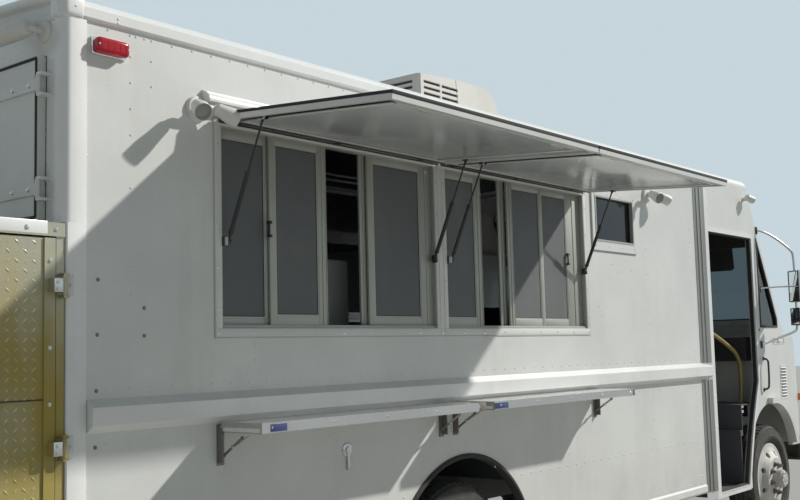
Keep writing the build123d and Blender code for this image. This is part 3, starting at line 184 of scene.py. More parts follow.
def addRivet(bm, place, facing, size=(0.0058, 0.003, 0.0026)):
    foot, crown, height = size
    facing = Vector(facing).normalized()
    middle = at(*place) + facing * (height / 2 - 0.0004)
    matrix = Matrix.Translation(middle) @ facing.to_track_quat("Z", "Y").to_matrix().to_4x4()
    bmesh.ops.create_cone(bm, cap_ends=True, segments=8, radius1=foot, radius2=crown,
                          depth=height, matrix=matrix)


# A hexagon head on a washer
def addBolt(bm, place, facing, across=0.009, height=0.007):
    facing = Vector(facing).normalized()
    turn = facing.to_track_quat("Z", "Y").to_matrix().to_4x4()
    for sides, radius, depth, lift in ((20, across * 1.5, 0.0024, 0), (6, across, height, 0.002)):
        middle = at(*place) + facing * (lift + depth / 2 - 0.0004)
        verts = bmesh.ops.create_cone(bm, cap_ends=True, segments=sides, radius1=radius,
                                      radius2=radius * 0.93, depth=depth,
                                      matrix=Matrix.Translation(middle) @ turn)["verts"]
        softenEdges(bm, verts, 0.0006, 1, 50)


# Rivets at an even pitch between two places
def rivetLine(bm, start, end, pitch, facing):
    start, end = Vector(start), Vector(end)
    count = max(1, round((end - start).length / pitch))
    for step in range(count + 1):
        addRivet(bm, start.lerp(end, step / count), facing)


# The same again on the driver's side
def mirrorOver(bm):
    copy = bmesh.ops.duplicate(bm, geom=bm.verts[:] + bm.edges[:] + bm.faces[:])["geom"]
    verts = [item for item in copy if isinstance(item, bmesh.types.BMVert)]
    bmesh.ops.scale(bm, vec=(1, -1, 1), space=centrePlane, verts=verts)


pieces = []


def finishPiece(bm, name, finish, body="body", bothSides=False, smooth=35, replaces=()):
    if bothSides:
        mirrorOver(bm)
    bmesh.ops.recalc_face_normals(bm, faces=bm.faces[:])
    mesh = bpy.data.meshes.new(name)
    bm.to_mesh(mesh)
    bm.free()
    mesh.polygons.foreach_set("use_smooth", [True] * len(mesh.polygons))
    mesh.set_sharp_from_angle(angle=math.radians(smooth))
    mesh.materials.append(finishes[finish]["material"])
    piece = bpy.data.objects.new(name, mesh)
    bpy.context.scene.collection.objects.link(piece)
    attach(piece, body)
    if replaces:
        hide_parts(*replaces)
    pieces.append(piece)
    return piece


# Materials
def addNode(tree, kind, settings, inputs):
    made = tree.nodes.new("ShaderNode" + kind)
    for key, value in settings.items():
        setattr(made, key, value)
    for key, value in inputs.items():
        if isinstance(value, bpy.types.NodeSocket):
            tree.links.new(value, made.inputs[key])
        else:
            made.inputs[key].default_value = value
    return made


def mathNode(tree, operation, first, second=0.0, clamp=False):
    return addNode(tree, "Math", {"operation": operation, "use_clamp": clamp},
                   {0: first, 1: second}).outputs[0]


def mixColour(tree, factor, first, second):
    return addNode(tree, "Mix", {"data_type": "RGBA"}, {0: factor, 6: first, 7: second}).outputs[2]


# A value between two limits, stretched to run from 0 to 1
def spread(tree, value, low, high):
    return addNode(tree, "MapRange", {"clamp": True}, {0: value, 1: low, 2: high}).outputs[0]


def noiseAt(tree, vector, scale, detail=4.0, rough=0.6, stretch=None):
    if stretch:
        vector = addNode(tree, "Mapping", {}, {"Vector": vector, "Scale": stretch}).outputs[0]
    return addNode(tree, "TexNoise", {}, {"Vector": vector, "Scale": scale, "Detail": detail,
                                          "Roughness": rough}).outputs[0]


def startGroup(name, inputs, outputs):
    tree = bpy.data.node_groups.new(name, "ShaderNodeTree")
    for label, kind, value in inputs:
        socket = tree.interface.new_socket(name=label, in_out="INPUT", socket_type="NodeSocket" + kind)
        socket.default_value = value
    for label, kind in outputs:
        tree.interface.new_socket(name=label, in_out="OUTPUT", socket_type="NodeSocket" + kind)
    entry = tree.nodes.new("NodeGroupInput").outputs
    leave = tree.nodes.new("NodeGroupOutput").inputs
    where = addNode(tree, "TexCoord", {}, {}).outputs["Object"]
    return tree, entry, leave, where


# Rain streaks, dusty patches and splashes near the ground
def makeRoadGrime():
    tree, entry, leave, where = startGroup(
        "roadGrime",
        [("Color", "Color", (0.8, 0.8, 0.8, 1)), ("Dirt", "Color", (0.2, 0.17, 0.13, 1)),
         ("Amount", "Float", 0.4), ("Scale", "Float", 2.0), ("Splash Height", "Float", 0.9)],
        [("Color", "Color"), ("Mask", "Float")])
    patches = spread(tree, noiseAt(tree, where, entry["Scale"], 7, 0.65), 0.42, 0.75)
    streaks = spread(tree, noiseAt(tree, where, 9.0, 5, 0.6, (1, 1, 0.1)), 0.45, 0.78)
    specks = spread(tree, noiseAt(tree, where, 55.0, 3, 0.7), 0.62, 0.74)
    height = addNode(tree, "SeparateXYZ", {}, {0: where}).outputs[2]
    low = spread(tree, mathNode(tree, "SUBTRACT", entry["Splash Height"], height), 0.0, 0.6)
    splash = mathNode(tree, "MULTIPLY", low, mathNode(tree, "ADD", patches, 0.35))
    rain = mathNode(tree, "MULTIPLY", patches, mathNode(tree, "ADD", streaks, 0.25))
    whole = mathNode(tree, "ADD", mathNode(tree, "ADD", rain, splash),
                     mathNode(tree, "MULTIPLY", specks, 0.35))
    mask = mathNode(tree, "MULTIPLY", whole, entry["Amount"], True)
    tree.links.new(mixColour(tree, mask, entry["Color"], entry["Dirt"]), leave["Color"])
    tree.links.new(mask, leave["Mask"])
    return tree


# Finish rubbed away along edges, broken up by noise
def makeWornEdges():
    tree, entry, leave, where = startGroup(
        "wornEdges",
        [("Color", "Color", (0.8, 0.8, 0.8, 1)), ("Bare", "Color", (0.5, 0.5, 0.5, 1)),
         ("Width", "Float", 0.004), ("Amount", "Float", 0.5)],
        [("Color", "Color"), ("Mask", "Float")])
    rounded = addNode(tree, "Bevel", {"samples": 4}, {"Radius": entry["Width"]}).outputs[0]
    straight = addNode(tree, "NewGeometry", {}, {}).outputs["True Normal"]
    same = addNode(tree, "VectorMath", {"operation": "DOT_PRODUCT"},
                   {0: rounded, 1: straight}).outputs["Value"]
    edge = spread(tree, mathNode(tree, "SUBTRACT", 1.0, same), 0.03, 0.25)
    broken = spread(tree, noiseAt(tree, where, 40.0, 5, 0.7), 0.44, 0.62)
    mask = mathNode(tree, "MULTIPLY", mathNode(tree, "MULTIPLY", edge, broken), entry["Amount"], True)
    tree.links.new(mixColour(tree, mask, entry["Color"], entry["Bare"]), leave["Color"])
    tree.links.new(mask, leave["Mask"])
    return tree


# Slow waves of thin sheet metal with a fine grain on top
def makeSheetRipple():
    tree, entry, leave, where = startGroup(
        "sheetRipple",
        [("Wave", "Float", 1.0), ("Wave Scale", "Float", 1.6), ("Grain", "Float", 0.2),
         ("Grain Scale", "Float", 220.0), ("Grain Stretch", "Vector", (1, 1, 1))],
        [("Height", "Float"), ("Grain", "Float")])
    wave = mathNode(tree, "MULTIPLY", noiseAt(tree, where, entry["Wave Scale"], 2, 0.4), entry["Wave"])
    fine = noiseAt(tree, where, entry["Grain Scale"], 3, 0.6, entry["Grain Stretch"])
    total = mathNode(tree, "ADD", wave, mathNode(tree, "MULTIPLY", fine, entry["Grain"]))
    tree.links.new(total, leave["Height"])
    tree.links.new(fine, leave["Grain"])
    return tree


# Short rubbed marks that run mostly along the vehicle
def makeScuffs():
    tree, entry, leave, where = startGroup(
        "scuffs",
        [("Color", "Color", (0.8, 0.8, 0.8, 1)), ("Mark", "Color", (0.3, 0.3, 0.3, 1)),
         ("Amount", "Float", 0.4)],
        [("Color", "Color"), ("Mask", "Float")])
    lines = spread(tree, noiseAt(tree, where, 38.0, 4, 0.75, (0.12, 0.12, 1.6)), 0.66, 0.72)
    patches = spread(tree, noiseAt(tree, where, 2.3, 3, 0.5), 0.56, 0.7)
    mask = mathNode(tree, "MULTIPLY", mathNode(tree, "MULTIPLY", lines, patches), entry["Amount"], True)
    tree.links.new(mixColour(tree, mask, entry["Color"], entry["Mark"]), leave["Color"])
    tree.links.new(mask, leave["Mask"])
    return tree


# Threads that cross, for insect screens and seat cloth
def makeWeave():
    tree, entry, leave, where = startGroup(
        "weave",
        [("Thread", "Color", (0.3, 0.3, 0.3, 1)), ("Gap", "Color", (0.1, 0.1, 0.1, 1)),
         ("Count", "Float", 700.0)],
        [("Color", "Color"), ("Height", "Float")])
    spots = addNode(tree, "SeparateXYZ", {}, {0: where}).outputs
    level = mathNode(tree, "ADD", spots[0], spots[1])
    waves = [mathNode(tree, "ABSOLUTE",
                      mathNode(tree, "SINE", mathNode(tree, "MULTIPLY", line, entry["Count"])))
             for line in (level, spots[2])]
    height = mathNode(tree, "MAXIMUM", waves[0], waves[1])
    tree.links.new(mixColour(tree, height, entry["Gap"], entry["Thread"]), leave["Color"])
    tree.links.new(height, leave["Height"])
    return tree


roadGrime, wornEdges, sheetRipple = makeRoadGrime(), makeWornEdges(), makeSheetRipple()
scuffs, weave = makeScuffs(), makeWeave()


def useGroup(tree, group, inputs):
    return addNode(tree, "Group", {"node_tree": group}, inputs).outputs


def startMaterial(name):
    material = bpy.data.materials.new(name)
    material.use_nodes = True
    tree = material.node_tree
    return material, tree, tree.nodes["Principled BSDF"].inputs


def rgba(colour):
    return (*colour, 1)


# Paints and metals share one build: base colour, dirt, worn edges, scuffs, ripple and grain
baseValues = {"metal": 0.0, "rough": 0.4, "coat": 0.0, "dirt": (0.21, 0.18, 0.13), "dirtAmount": 0.3,
              "dirtScale": 1.8, "splash": 0.9, "bare": (0.5, 0.5, 0.5), "wear": 0.2, "wearWidth": 0.003,
              "mark": (0.25, 0.25, 0.24), "scuff": 0.3, "wave": 0.0, "waveScale": 1.6, "grain": 0.15,
              "grainScale": 240.0, "stretch": (1, 1, 1), "bump": 0.0012, "vary": 0.05, "varyScale": 3.0}
finishes = {
    "whitePaint": {"slot": "white_paint", "colour": (0.74, 0.75, 0.73), "rough": 0.36, "coat": 0.2,
                   "dirtAmount": 0.2, "wave": 2.2, "waveScale": 1.3, "bump": 0.004, "grain": 0.03,
                   "scuff": 0.5, "wear": 0.15},
    "brightPaint": {"slot": "bright_white", "colour": (0.84, 0.85, 0.84), "rough": 0.3, "coat": 0.25,
                    "dirtAmount": 0.2, "wave": 0.5, "bump": 0.002, "scuff": 0.5},
    "wheelPaint": {"slot": "white_paint", "colour": (0.72, 0.72, 0.69), "rough": 0.5,
                   "dirt": (0.26, 0.2, 0.15), "dirtAmount": 0.4, "dirtScale": 9.0,
                   "bare": (0.25, 0.12, 0.06), "wear": 0.7},
    "blackSteel": {"slot": "black_steel", "colour": (0.022, 0.022, 0.024), "rough": 0.4, "dirtAmount": 0.25,
                   "bare": (0.2, 0.2, 0.2), "wear": 0.3},
    "bumperSteel": {"slot": "black_steel", "colour": (0.03, 0.03, 0.032), "rough": 0.45, "dirtAmount": 0.5,
                    "bare": (0.2, 0.12, 0.08), "wear": 0.5, "wave": 0.3},
    "sashMetal": {"slot": "aluminium", "colour": (0.43, 0.44, 0.4), "metal": 0.25, "rough": 0.42,
                  "dirtAmount": 0.4, "stretch": (1, 1, 0.05), "grain": 0.3, "bump": 0.0004, "wear": 0.3,
                  "bare": (0.7, 0.7, 0.68)},
    # a grey darkened to paint shade: on the doorway post's slope and on the fridge in the dark kitchen
    "shadeGreyMetal": {"slot": "aluminium", "colour": (0.34, 0.36, 0.35), "metal": 0.2, "rough": 0.5,
                  "dirtAmount": 0.5},
    "bracketSteel": {"slot": "stainless", "colour": (0.24, 0.235, 0.22), "metal": 0.5, "rough": 0.45,
                     "dirt": (0.16, 0.09, 0.05), "dirtAmount": 0.6, "dirtScale": 6.0, "splash": 1.3},
    # near-black blue for the lining inside the body: a painted shade for the dark kitchen
    "kitchenShadeLining": {"slot": "stainless", "colour": (0.07, 0.085, 0.1), "metal": 0.1, "rough": 0.5,
                    "dirtAmount": 0.3, "splash": 0.2},
    "aluminium": {"slot": "aluminium", "colour": (0.6, 0.61, 0.6), "metal": 0.45, "rough": 0.4,
                  "dirtAmount": 0.25, "stretch": (0.05, 1, 1), "grain": 0.35, "bump": 0.0005,
                  "bare": (0.8, 0.8, 0.8)},
    # treadPlate and lozenges: the heavy olive-yellow dirt, strongest low on the plate, is partly real dirt
    # and partly a painted sunlit yellow reflection
    "treadPlate": {"slot": "tread_plate", "colour": (0.47, 0.46, 0.38), "metal": 0.8, "rough": 0.36,
                   "dirt": (0.37, 0.29, 0.07), "dirtAmount": 1.0, "dirtScale": 0.9, "splash": 1.85,
                   "bare": (0.8, 0.79, 0.74), "wear": 0.5, "vary": 0.15},
    "lozenges": {"slot": "tread_plate", "colour": (0.74, 0.72, 0.6), "metal": 0.9, "rough": 0.24,
                 "dirt": (0.5, 0.41, 0.13), "dirtAmount": 0.9, "dirtScale": 0.9, "splash": 1.85,
                 "bare": (0.9, 0.89, 0.84), "wear": 0.9, "wearWidth": 0.002, "vary": 0.12},
    "stainless": {"slot": "stainless", "colour": (0.6, 0.6, 0.59), "metal": 1.0, "rough": 0.28,
                  "stretch": (0.04, 1, 1), "grain": 0.5, "bump": 0.0004, "dirtAmount": 0.2},
    "hatchInside": {"slot": "white_paint", "colour": (0.62, 0.64, 0.64), "rough": 0.2, "coat": 0.4,
                    "metal": 0.1, "dirtAmount": 0.22, "wave": 1.2, "waveScale": 2.2, "bump": 0.003},
    "whitePlastic": {"slot": "white_plastic", "colour": (0.76, 0.75, 0.71), "rough": 0.48,
                     "dirtAmount": 0.35, "splash": 0.2, "grain": 0.4, "grainScale": 420.0},
    "darkPlastic": {"slot": "dark_plastic", "colour": (0.035, 0.035, 0.037), "rough": 0.55,
                    "dirtAmount": 0.2, "grain": 0.6, "grainScale": 600.0, "bare": (0.1, 0.1, 0.1)},
    "rubber": {"slot": "dark_plastic", "colour": (0.016, 0.016, 0.017), "rough": 0.72,
               "dirtAmount": 0.3, "bare": (0.06, 0.06, 0.06)},
    "iron": {"slot": "iron", "colour": (0.055, 0.05, 0.046), "rough": 0.8, "dirt": (0.2, 0.1, 0.045),
             "dirtAmount": 0.75, "dirtScale": 5.0, "splash": 1.2, "grain": 1.0, "grainScale": 160.0,
             "bump": 0.0016, "bare": (0.16, 0.1, 0.07), "wear": 0.4},
    "chrome": {"slot": "chrome", "colour": (0.8, 0.8, 0.81), "metal": 1.0, "rough": 0.08,
               "dirtAmount": 0.15, "scuff": 0.2, "grain": 0.02},
    "yellowPaint": {"slot": "dark_plastic", "colour": (0.34, 0.26, 0.09), "rough": 0.45,
                    "dirtAmount": 0.35, "wear": 0.7, "bare": (0.25, 0.22, 0.16)},
    "bluePlastic": {"slot": "white_plastic", "colour": (0.035, 0.06, 0.2), "rough": 0.4, "dirtAmount": 0.3},
    "floorCoat": {"slot": "dark_plastic", "colour": (0.085, 0.09, 0.1), "rough": 0.7, "dirtAmount": 0.35,
                  "splash": 0.2, "grain": 1.0, "grainScale": 90.0, "bump": 0.002},
    "sealant": {"slot": "white_plastic", "colour": (0.55, 0.54, 0.5), "rough": 0.6, "dirtAmount": 0.6},
}


def buildFinish(name, own):
    values = {**baseValues, **own}
    material, tree, shader = startMaterial(name)
    where = addNode(tree, "TexCoord", {}, {}).outputs["Object"]
    tone = spread(tree, noiseAt(tree, where, values["varyScale"], 4, 0.6), 0.3, 0.7)
    darker = tuple(part * (1 - values["vary"] * 2) for part in values["colour"])
    colour = mixColour(tree, tone, rgba(darker), rgba(values["colour"]))
    marks = useGroup(tree, scuffs, {"Color": colour, "Mark": rgba(values["mark"]), "Amount": values["scuff"]})
    worn = useGroup(tree, wornEdges, {"Color": marks["Color"], "Bare": rgba(values["bare"]),
                                      "Width": values["wearWidth"], "Amount": values["wear"]})
    dirty = useGroup(tree, roadGrime, {"Color": worn["Color"], "Dirt": rgba(values["dirt"]),
                                       "Amount": values["dirtAmount"], "Scale": values["dirtScale"],
                                       "Splash Height": values["splash"]})
    ripple = useGroup(tree, sheetRipple, {"Wave": values["wave"], "Wave Scale": values["waveScale"],
                                          "Grain": values["grain"], "Grain Scale": values["grainScale"],
                                          "Grain Stretch": values["stretch"]})
    tree.links.new(dirty["Color"], shader["Base Color"])
    rough = mathNode(tree, "ADD", mathNode(tree, "MULTIPLY", dirty["Mask"], 0.4),
                     mathNode(tree, "ADD", mathNode(tree, "MULTIPLY", ripple["Grain"], 0.12),
                              values["rough"] - 0.06), True)
    tree.links.new(rough, shader["Roughness"])
    if values["metal"]:
        clean = mathNode(tree, "SUBTRACT", 1.0, dirty["Mask"], True)
        tree.links.new(mathNode(tree, "MULTIPLY", clean, values["metal"]), shader["Metallic"])
    shader["Coat Weight"].default_value = values["coat"]
    shader["Coat Roughness"].default_value = 0.12
    bump = addNode(tree, "Bump", {},
                   {"Height": ripple["Height"], "Distance": values["bump"], "Strength": 0.8})
    tree.links.new(bump.outputs[0], shader["Normal"])
    return material


for finishName, finishValues in finishes.items():
    finishValues["material"] = buildFinish(finishName, finishValues)


# Glass and lamp lenses: clear, with a little dust on them
def addClearFinish(name, slot, colour, rough, dirtAmount=0.1, transmission=1.0, ior=1.45):
    material, tree, shader = startMaterial(name)
    dusty = useGroup(tree, roadGrime,
                     {"Color": rgba(colour), "Dirt": (0.3, 0.28, 0.24, 1), "Amount": dirtAmount,
                      "Scale": 3.0, "Splash Height": 0.8})
    tree.links.new(dusty["Color"], shader["Base Color"])
    tree.links.new(mathNode(tree, "ADD", mathNode(tree, "MULTIPLY", dusty["Mask"], 0.5), rough),
                   shader["Roughness"])
    shader["Transmission Weight"].default_value = transmission
    shader["IOR"].default_value = ior
    finishes[name] = {"slot": slot, "material": material}


addClearFinish("glass", "glass", (0.62, 0.66, 0.66), 0.02)
addClearFinish("darkGlass", "glass", (0.11, 0.14, 0.15), 0.03)
addClearFinish("clearLens", "lamp", (0.9, 0.92, 0.92), 0.06, 0.2)
addClearFinish("redLens", "lamp", (0.62, 0.012, 0.03), 0.1, 0.12, 0.35)
addClearFinish("amberLens", "lamp", (0.85, 0.25, 0.02), 0.1, 0.15, 0.4)
addClearFinish("mirrorGlass", "chrome", (0.82, 0.84, 0.85), 0.02, 0.1, 0.0)
finishes["mirrorGlass"]["material"].node_tree.nodes["Principled BSDF"].inputs["Metallic"].default_value = 1.0


def addWovenFinish(name, slot, thread, gap, count, rough, alpha=None):
    material, tree, shader = startMaterial(name)
    cloth = useGroup(tree, weave, {"Thread": rgba(thread), "Gap": rgba(gap), "Count": count})
    dusty = useGroup(tree, roadGrime, {"Color": cloth["Color"], "Dirt": (0.32, 0.3, 0.26, 1), "Amount": 0.35,
                                       "Scale": 2.5, "Splash Height": 0.0})
    tree.links.new(dusty["Color"], shader["Base Color"])
    shader["Roughness"].default_value = rough
    bump = addNode(tree, "Bump", {}, {"Height": cloth["Height"], "Distance": 0.0006, "Strength": 0.5})
    tree.links.new(bump.outputs[0], shader["Normal"])
    if alpha:
        low, high = alpha
        solid = mathNode(tree, "ADD", mathNode(tree, "MULTIPLY", cloth["Height"], high - low), low)
        tree.links.new(solid, shader["Alpha"])
    finishes[name] = {"slot": slot, "material": material}


addWovenFinish("insectScreen", "aluminium", (0.135, 0.145, 0.15), (0.05, 0.055, 0.06), 1400.0, 0.55,
               (0.75, 1.0))
addWovenFinish("seatCloth", "seat", (0.05, 0.05, 0.055), (0.02, 0.02, 0.022), 900.0, 0.85)


def buildTyreRubber():
    material, tree, shader = startMaterial("tyreRubber")
    where = addNode(tree, "TexCoord", {}, {}).outputs["Object"]
    tone = noiseAt(tree, where, 14.0, 5, 0.6)
    colour = mixColour(tree, tone, (0.018, 0.018, 0.018, 1), (0.05, 0.048, 0.045, 1))
    dusty = useGroup(tree, roadGrime, {"Color": colour, "Dirt": (0.17, 0.15, 0.12, 1), "Amount": 0.4,
                                       "Scale": 7.0, "Splash Height": 0.85})
    tree.links.new(dusty["Color"], shader["Base Color"])
    shader["Roughness"].default_value = 0.82
    bump = addNode(tree, "Bump", {}, {"Height": noiseAt(tree, where, 260.0, 3, 0.6), "Distance": 0.0006,
                                      "Strength": 0.6})
    tree.links.new(bump.outputs[0], shader["Normal"])
    return material


finishes["tyreRubber"] = {"slot": "tyre", "material": buildTyreRubber()}

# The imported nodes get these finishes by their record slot, a few by their own name
slotFinish = {"white_paint": "whitePaint", "bright_white": "brightPaint", "black_steel": "blackSteel",
              "aluminium": "aluminium", "tread_plate": "treadPlate", "stainless": "stainless",
              "glass": "darkGlass", "lamp": "clearLens", "white_plastic": "whitePlastic",
              "tyre": "tyreRubber", "iron": "iron", "seat": "seatCloth", "dark_plastic": "darkPlastic",
              "chrome": "chrome"}
nodeFinish = {"wheel_front_right": "wheelPaint", "wheel_front_left": "wheelPaint",
              "wheels_rear_right": "wheelPaint", "wheels_rear_left": "wheelPaint",
              "front_bumper": "bumperSteel", "rear_bumper": "bumperSteel", "floor": "floorCoat",
              "steps": "floorCoat", "roof": "brightPaint", "cab_roof": "whitePaint",
              "shelf_brackets": "bracketSteel", "shelf_stays_rear": "bracketSteel",
              "shelf_stays_front": "bracketSteel"}
for nodeName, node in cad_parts.items():
    for slotItem in node.material_slots:
        own = slotItem.material.name.split(".")[0]
        slotItem.material = finishes[nodeFinish.get(nodeName, slotFinish.get(own, "whitePaint"))]["material"]
print("materials ready")

# Stage, light and camera
stage = {"floorSize": 60.0, "floorColour": (0.42, 0.42, 0.4), "sky": 0.215, "backdrop": 0.72,
         "sunPower": 3.8, "sunSoftness": 1.6, "sunFrom": (0.698, -0.423, 0.578)}
camera = {"place": (-1.997, -4.208, 1.442), "heading": 39.14, "pitch": 5.41, "roll": -1.45, "lens": 47.97}


def makeStage():
    bm = bmesh.new()
    bmesh.ops.create_circle(bm, cap_ends=True, segments=64, radius=stage["floorSize"])
    mesh = bpy.data.meshes.new("studioFloor")
    bm.to_mesh(mesh)
    bm.free()
    material, tree, shader = startMaterial("studioFloor")
    where = addNode(tree, "TexCoord", {}, {}).outputs["Object"]
    tone = noiseAt(tree, where, 0.7, 5, 0.6)
    pale = rgba(stage["floorColour"])
    tree.links.new(mixColour(tree, tone, tuple(part * 0.94 for part in pale[:3]) + (1,), pale),
                   shader["Base Color"])
    shader["Roughness"].default_value = 0.9
    mesh.materials.append(material)
    floor = bpy.data.objects.new("studioFloor", mesh)
    bpy.context.scene.collection.objects.link(floor)

    world = bpy.data.worlds.new("studio")
    bpy.context.scene.world = world
    world.use_nodes = True
    tree = world.node_tree
    tree.nodes.clear()
    path = addNode(tree, "LightPath", {}, {}).outputs
    seen = mathNode(tree, "MAXIMUM", mathNode(tree, "MAXIMUM", path["Is Camera Ray"], path["Is Glossy Ray"]),
                    path["Is Transmission Ray"])
    strength = mathNode(tree, "ADD", mathNode(tree, "MULTIPLY", seen, stage["backdrop"] - stage["sky"]),
                        stage["sky"])
    light = addNode(tree, "Background", {}, {"Color": (0.79, 0.93, 1.0, 1), "Strength": strength})
    out = tree.nodes.new("ShaderNodeOutputWorld")
    tree.links.new(light.outputs[0], out.inputs[0])

    lamp = bpy.data.lights.new("keyLight", "SUN")
    lamp.energy = stage["sunPower"]
    lamp.angle = math.radians(stage["sunSoftness"])
    lamp.color = (1.0, 0.97, 0.92)
    key = bpy.data.objects.new("keyLight", lamp)
    bpy.context.scene.collection.objects.link(key)
    key.rotation_euler = Vector(stage["sunFrom"]).to_track_quat("Z", "Y").to_euler()


def makeCamera():
    heading, pitch, roll = (math.radians(camera[name]) for name in ("heading", "pitch", "roll"))
    forward = Vector((math.cos(heading) * math.cos(pitch), math.sin(heading) * math.cos(pitch),
                      math.sin(pitch)))
    right = Vector((math.sin(heading), -math.cos(heading), 0))
    up = right.cross(forward)
    right, up = (math.cos(roll) * right + math.sin(roll) * up, math.cos(roll) * up - math.sin(roll) * right)
    lens = bpy.data.cameras.new("photographView")
    lens.lens = camera["lens"]
    lens.sensor_width = 36.0
    lens.clip_end = 200.0
    view = bpy.data.objects.new("photographView", lens)
    bpy.context.scene.collection.objects.link(view)
    turn = Matrix((right, up, -forward)).transposed().to_4x4()
    view.matrix_world = Matrix.Translation(at(*camera["place"])) @ turn
    bpy.context.scene.camera = view


makeStage()
makeCamera()
bpy.context.scene.view_settings.view_transform = "Standard"
print("stage ready")

curbFacing, driverFacing, upFacing = (0, -1, 0), (0, 1, 0), (0, 0, 1)
rearFacing, frontFacing, downFacing = (-1, 0, 0), (1, 0, 0), (0, 0, -1)

# Rivets of the body
rivets = {"pitch": 0.093, "edge": 0.081, "rear": 0.262, "second": 0.352, "roofRow": 2.573, "top": 2.497,
          "belt": (1.160, 1.338), "floorRow": 0.796, "foot": 0.515, "front": 4.86, "wallTop": 2.497,
          "columns": (1.24, 2.44, 3.16, 4.20),
          "loose": ((3.564, 1.672), (3.650, 1.671), (3.599, 1.618), (3.612, 1.519), (3.742, 1.927),
                    (3.832, 1.886), (3.993, 1.900), (0.84, 1.48), (0.84, 1.42), (1.50, 1.46)),
          "bolts": ((0.128, 1.706), (0.317, 1.613), (0.317, 1.517), (0.125, 1.521), (0.122, 1.335),
                    (0.118, 1.150))}


def makeBodyRivets():
    bm = bmesh.new()
    y, r = curb(0), rivets
    rivetLine(bm, (r["edge"], y, 0.56), (r["edge"], y, 2.397), r["pitch"], curbFacing)
    rivetLine(bm, (r["rear"], y, r["belt"][1] + 0.04), (r["rear"], y, r["top"]), r["pitch"], curbFacing)
    rivetLine(bm, (r["second"], y, 2.405), (r["second"], y, r["top"]), r["pitch"], curbFacing)
    rivetLine(bm, (0.167, y, r["roofRow"]), (4.91, y, r["roofRow"]), r["pitch"], curbFacing)
    for along in (0.285, 0.322):
        addRivet(bm, (along, y, r["roofRow"]), curbFacing)
    for up in r["belt"]:
        rivetLine(bm, (0.16, y, up), (r["front"], y, up), r["pitch"], curbFacing)
    for along in r["columns"]:
        rivetLine(bm, (along, y, 0.86), (along, y, r["belt"][0] - 0.06), r["pitch"] * 1.4, curbFacing)
    rivetLine(bm, (r["front"], y, 0.56), (r["front"], y, r["wallTop"]), r["pitch"], curbFacing)
    for start, end in ((0.16, 1.72), (2.68, 4.80)):
        rivetLine(bm, (start, y, r["floorRow"]), (end, y, r["floorRow"]), r["pitch"], curbFacing)
    for start, end in ((0.16, 1.54), (2.83, 4.86)):
        rivetLine(bm, (start, y, r["foot"]), (end, y, r["foot"]), r["pitch"], curbFacing)
    mirrorOver(bm)
    # the driver's side has no windows, so its upper columns run the whole way
    for along in r["columns"]:
        rivetLine(bm, (along, -y, r["belt"][1] + 0.08), (along, -y, r["wallTop"]), r["pitch"], driverFacing)
    rivetLine(bm, (r["columns"][-1], y, r["belt"][1] + 0.08), (r["columns"][-1], y, 2.20), r["pitch"] * 1.8,
              curbFacing)
    for along, up in r["loose"]:
        addRivet(bm, (along, y, up), curbFacing)
    for along in (5.195, 5.312):
        for up in (2.384, 2.525):
            addRivet(bm, (along, y, up), curbFacing)
    finishPiece(bm, "body_rivets", "whitePaint")
    bm = bmesh.new()
    for along, up in r["bolts"]:
        addBolt(bm, (along, y, up), curbFacing, 0.0048, 0.003)
    finishPiece(bm, "side_bolts", "bracketSteel")


def makeRearRivets():
    bm = bmesh.new()
    for across in (-1.115, 1.115):
        rivetLine(bm, (0, across, 1.95), (0, across, 2.54), 0.1, rearFacing)
    rivetLine(bm, (0, -1.02, 2.515), (0, 1.02, 2.515), 0.12, rearFacing)
    for along, out in ((0.2, 0.014), (5.0, 0.014)):
        for up in (2.600, 2.615):
            addRivet(bm, (along, curb(out), up), curbFacing)
    rivetLine(bm, (5.092, curb(0.03), 0.46), (5.092, curb(0.03), 2.52), 0.21, curbFacing)
    rivetLine(bm, (5.092, -curb(0.03), 0.46), (5.092, -curb(0.03), 2.52), 0.21, driverFacing)
    finishPiece(bm, "frame_rivets", "brightPaint")


makeBodyRivets()
makeRearRivets()


roofSkin = {"eaves": 2.676, "rise": 0.04, "rounding": 0.07}


# Height of the crowned roof skin at a distance from the centre line
def roofHeight(across):
    share = min(1.0, abs(across) / (halfWidth - roofSkin["rounding"]))
    return roofSkin["eaves"] + roofSkin["rise"] * (1 - share * share)


# "gap" is where the roof cooler stands in a strip's way: rear, front and half its width
roofLaps = {"places": (0.02, 1.22, 2.44, 3.66, 4.88), "width": 0.045, "height": 0.0035, "steps": 24,
            "gap": (2.9, 3.8, 0.40)}


# Cover strips across the roof skin, riveted down, that stop at the rounded edges
def makeRoofLaps():
    bm = bmesh.new()
    wide = halfWidth - 0.075
    for along in roofLaps["places"]:
        low, high, side = roofLaps["gap"]
        spans = ((-wide, -side), (side, wide)) if low < along < high else ((-wide, wide),)
        for start, end in spans:
            rows = []
            for step in range(roofLaps["steps"] + 1):
                across = start + (end - start) * step / roofLaps["steps"]
                up = roofHeight(across)
                rows.append((across, up))
            outline = [(along, across, up - 0.001) for across, up in rows]
            outline += [(along, across, up + roofLaps["height"]) for across, up in reversed(rows)]
            addSlab(bm, outline, (roofLaps["width"], 0, 0))
            for across, up in rows[1:-1:2]:
                for edge in (0.008, roofLaps["width"] - 0.008):
                    addRivet(bm, (along + edge, across, up + roofLaps["height"]), upFacing)
    finishPiece(bm, "roof_laps", "brightPaint")


makeRoofLaps()
print("body rivets and roof laps ready")

# Diamond plate of the rear box
plate = {"across": 0.031, "up": 0.031, "long": 0.027, "wide": 0.0075, "high": 0.0022,
         "crown": 0.35, "seam": 1.316, "foot": 0.53, "head": 1.832}
boxBack, boxHinges = -0.61, (0.64, 1.16, 1.68)


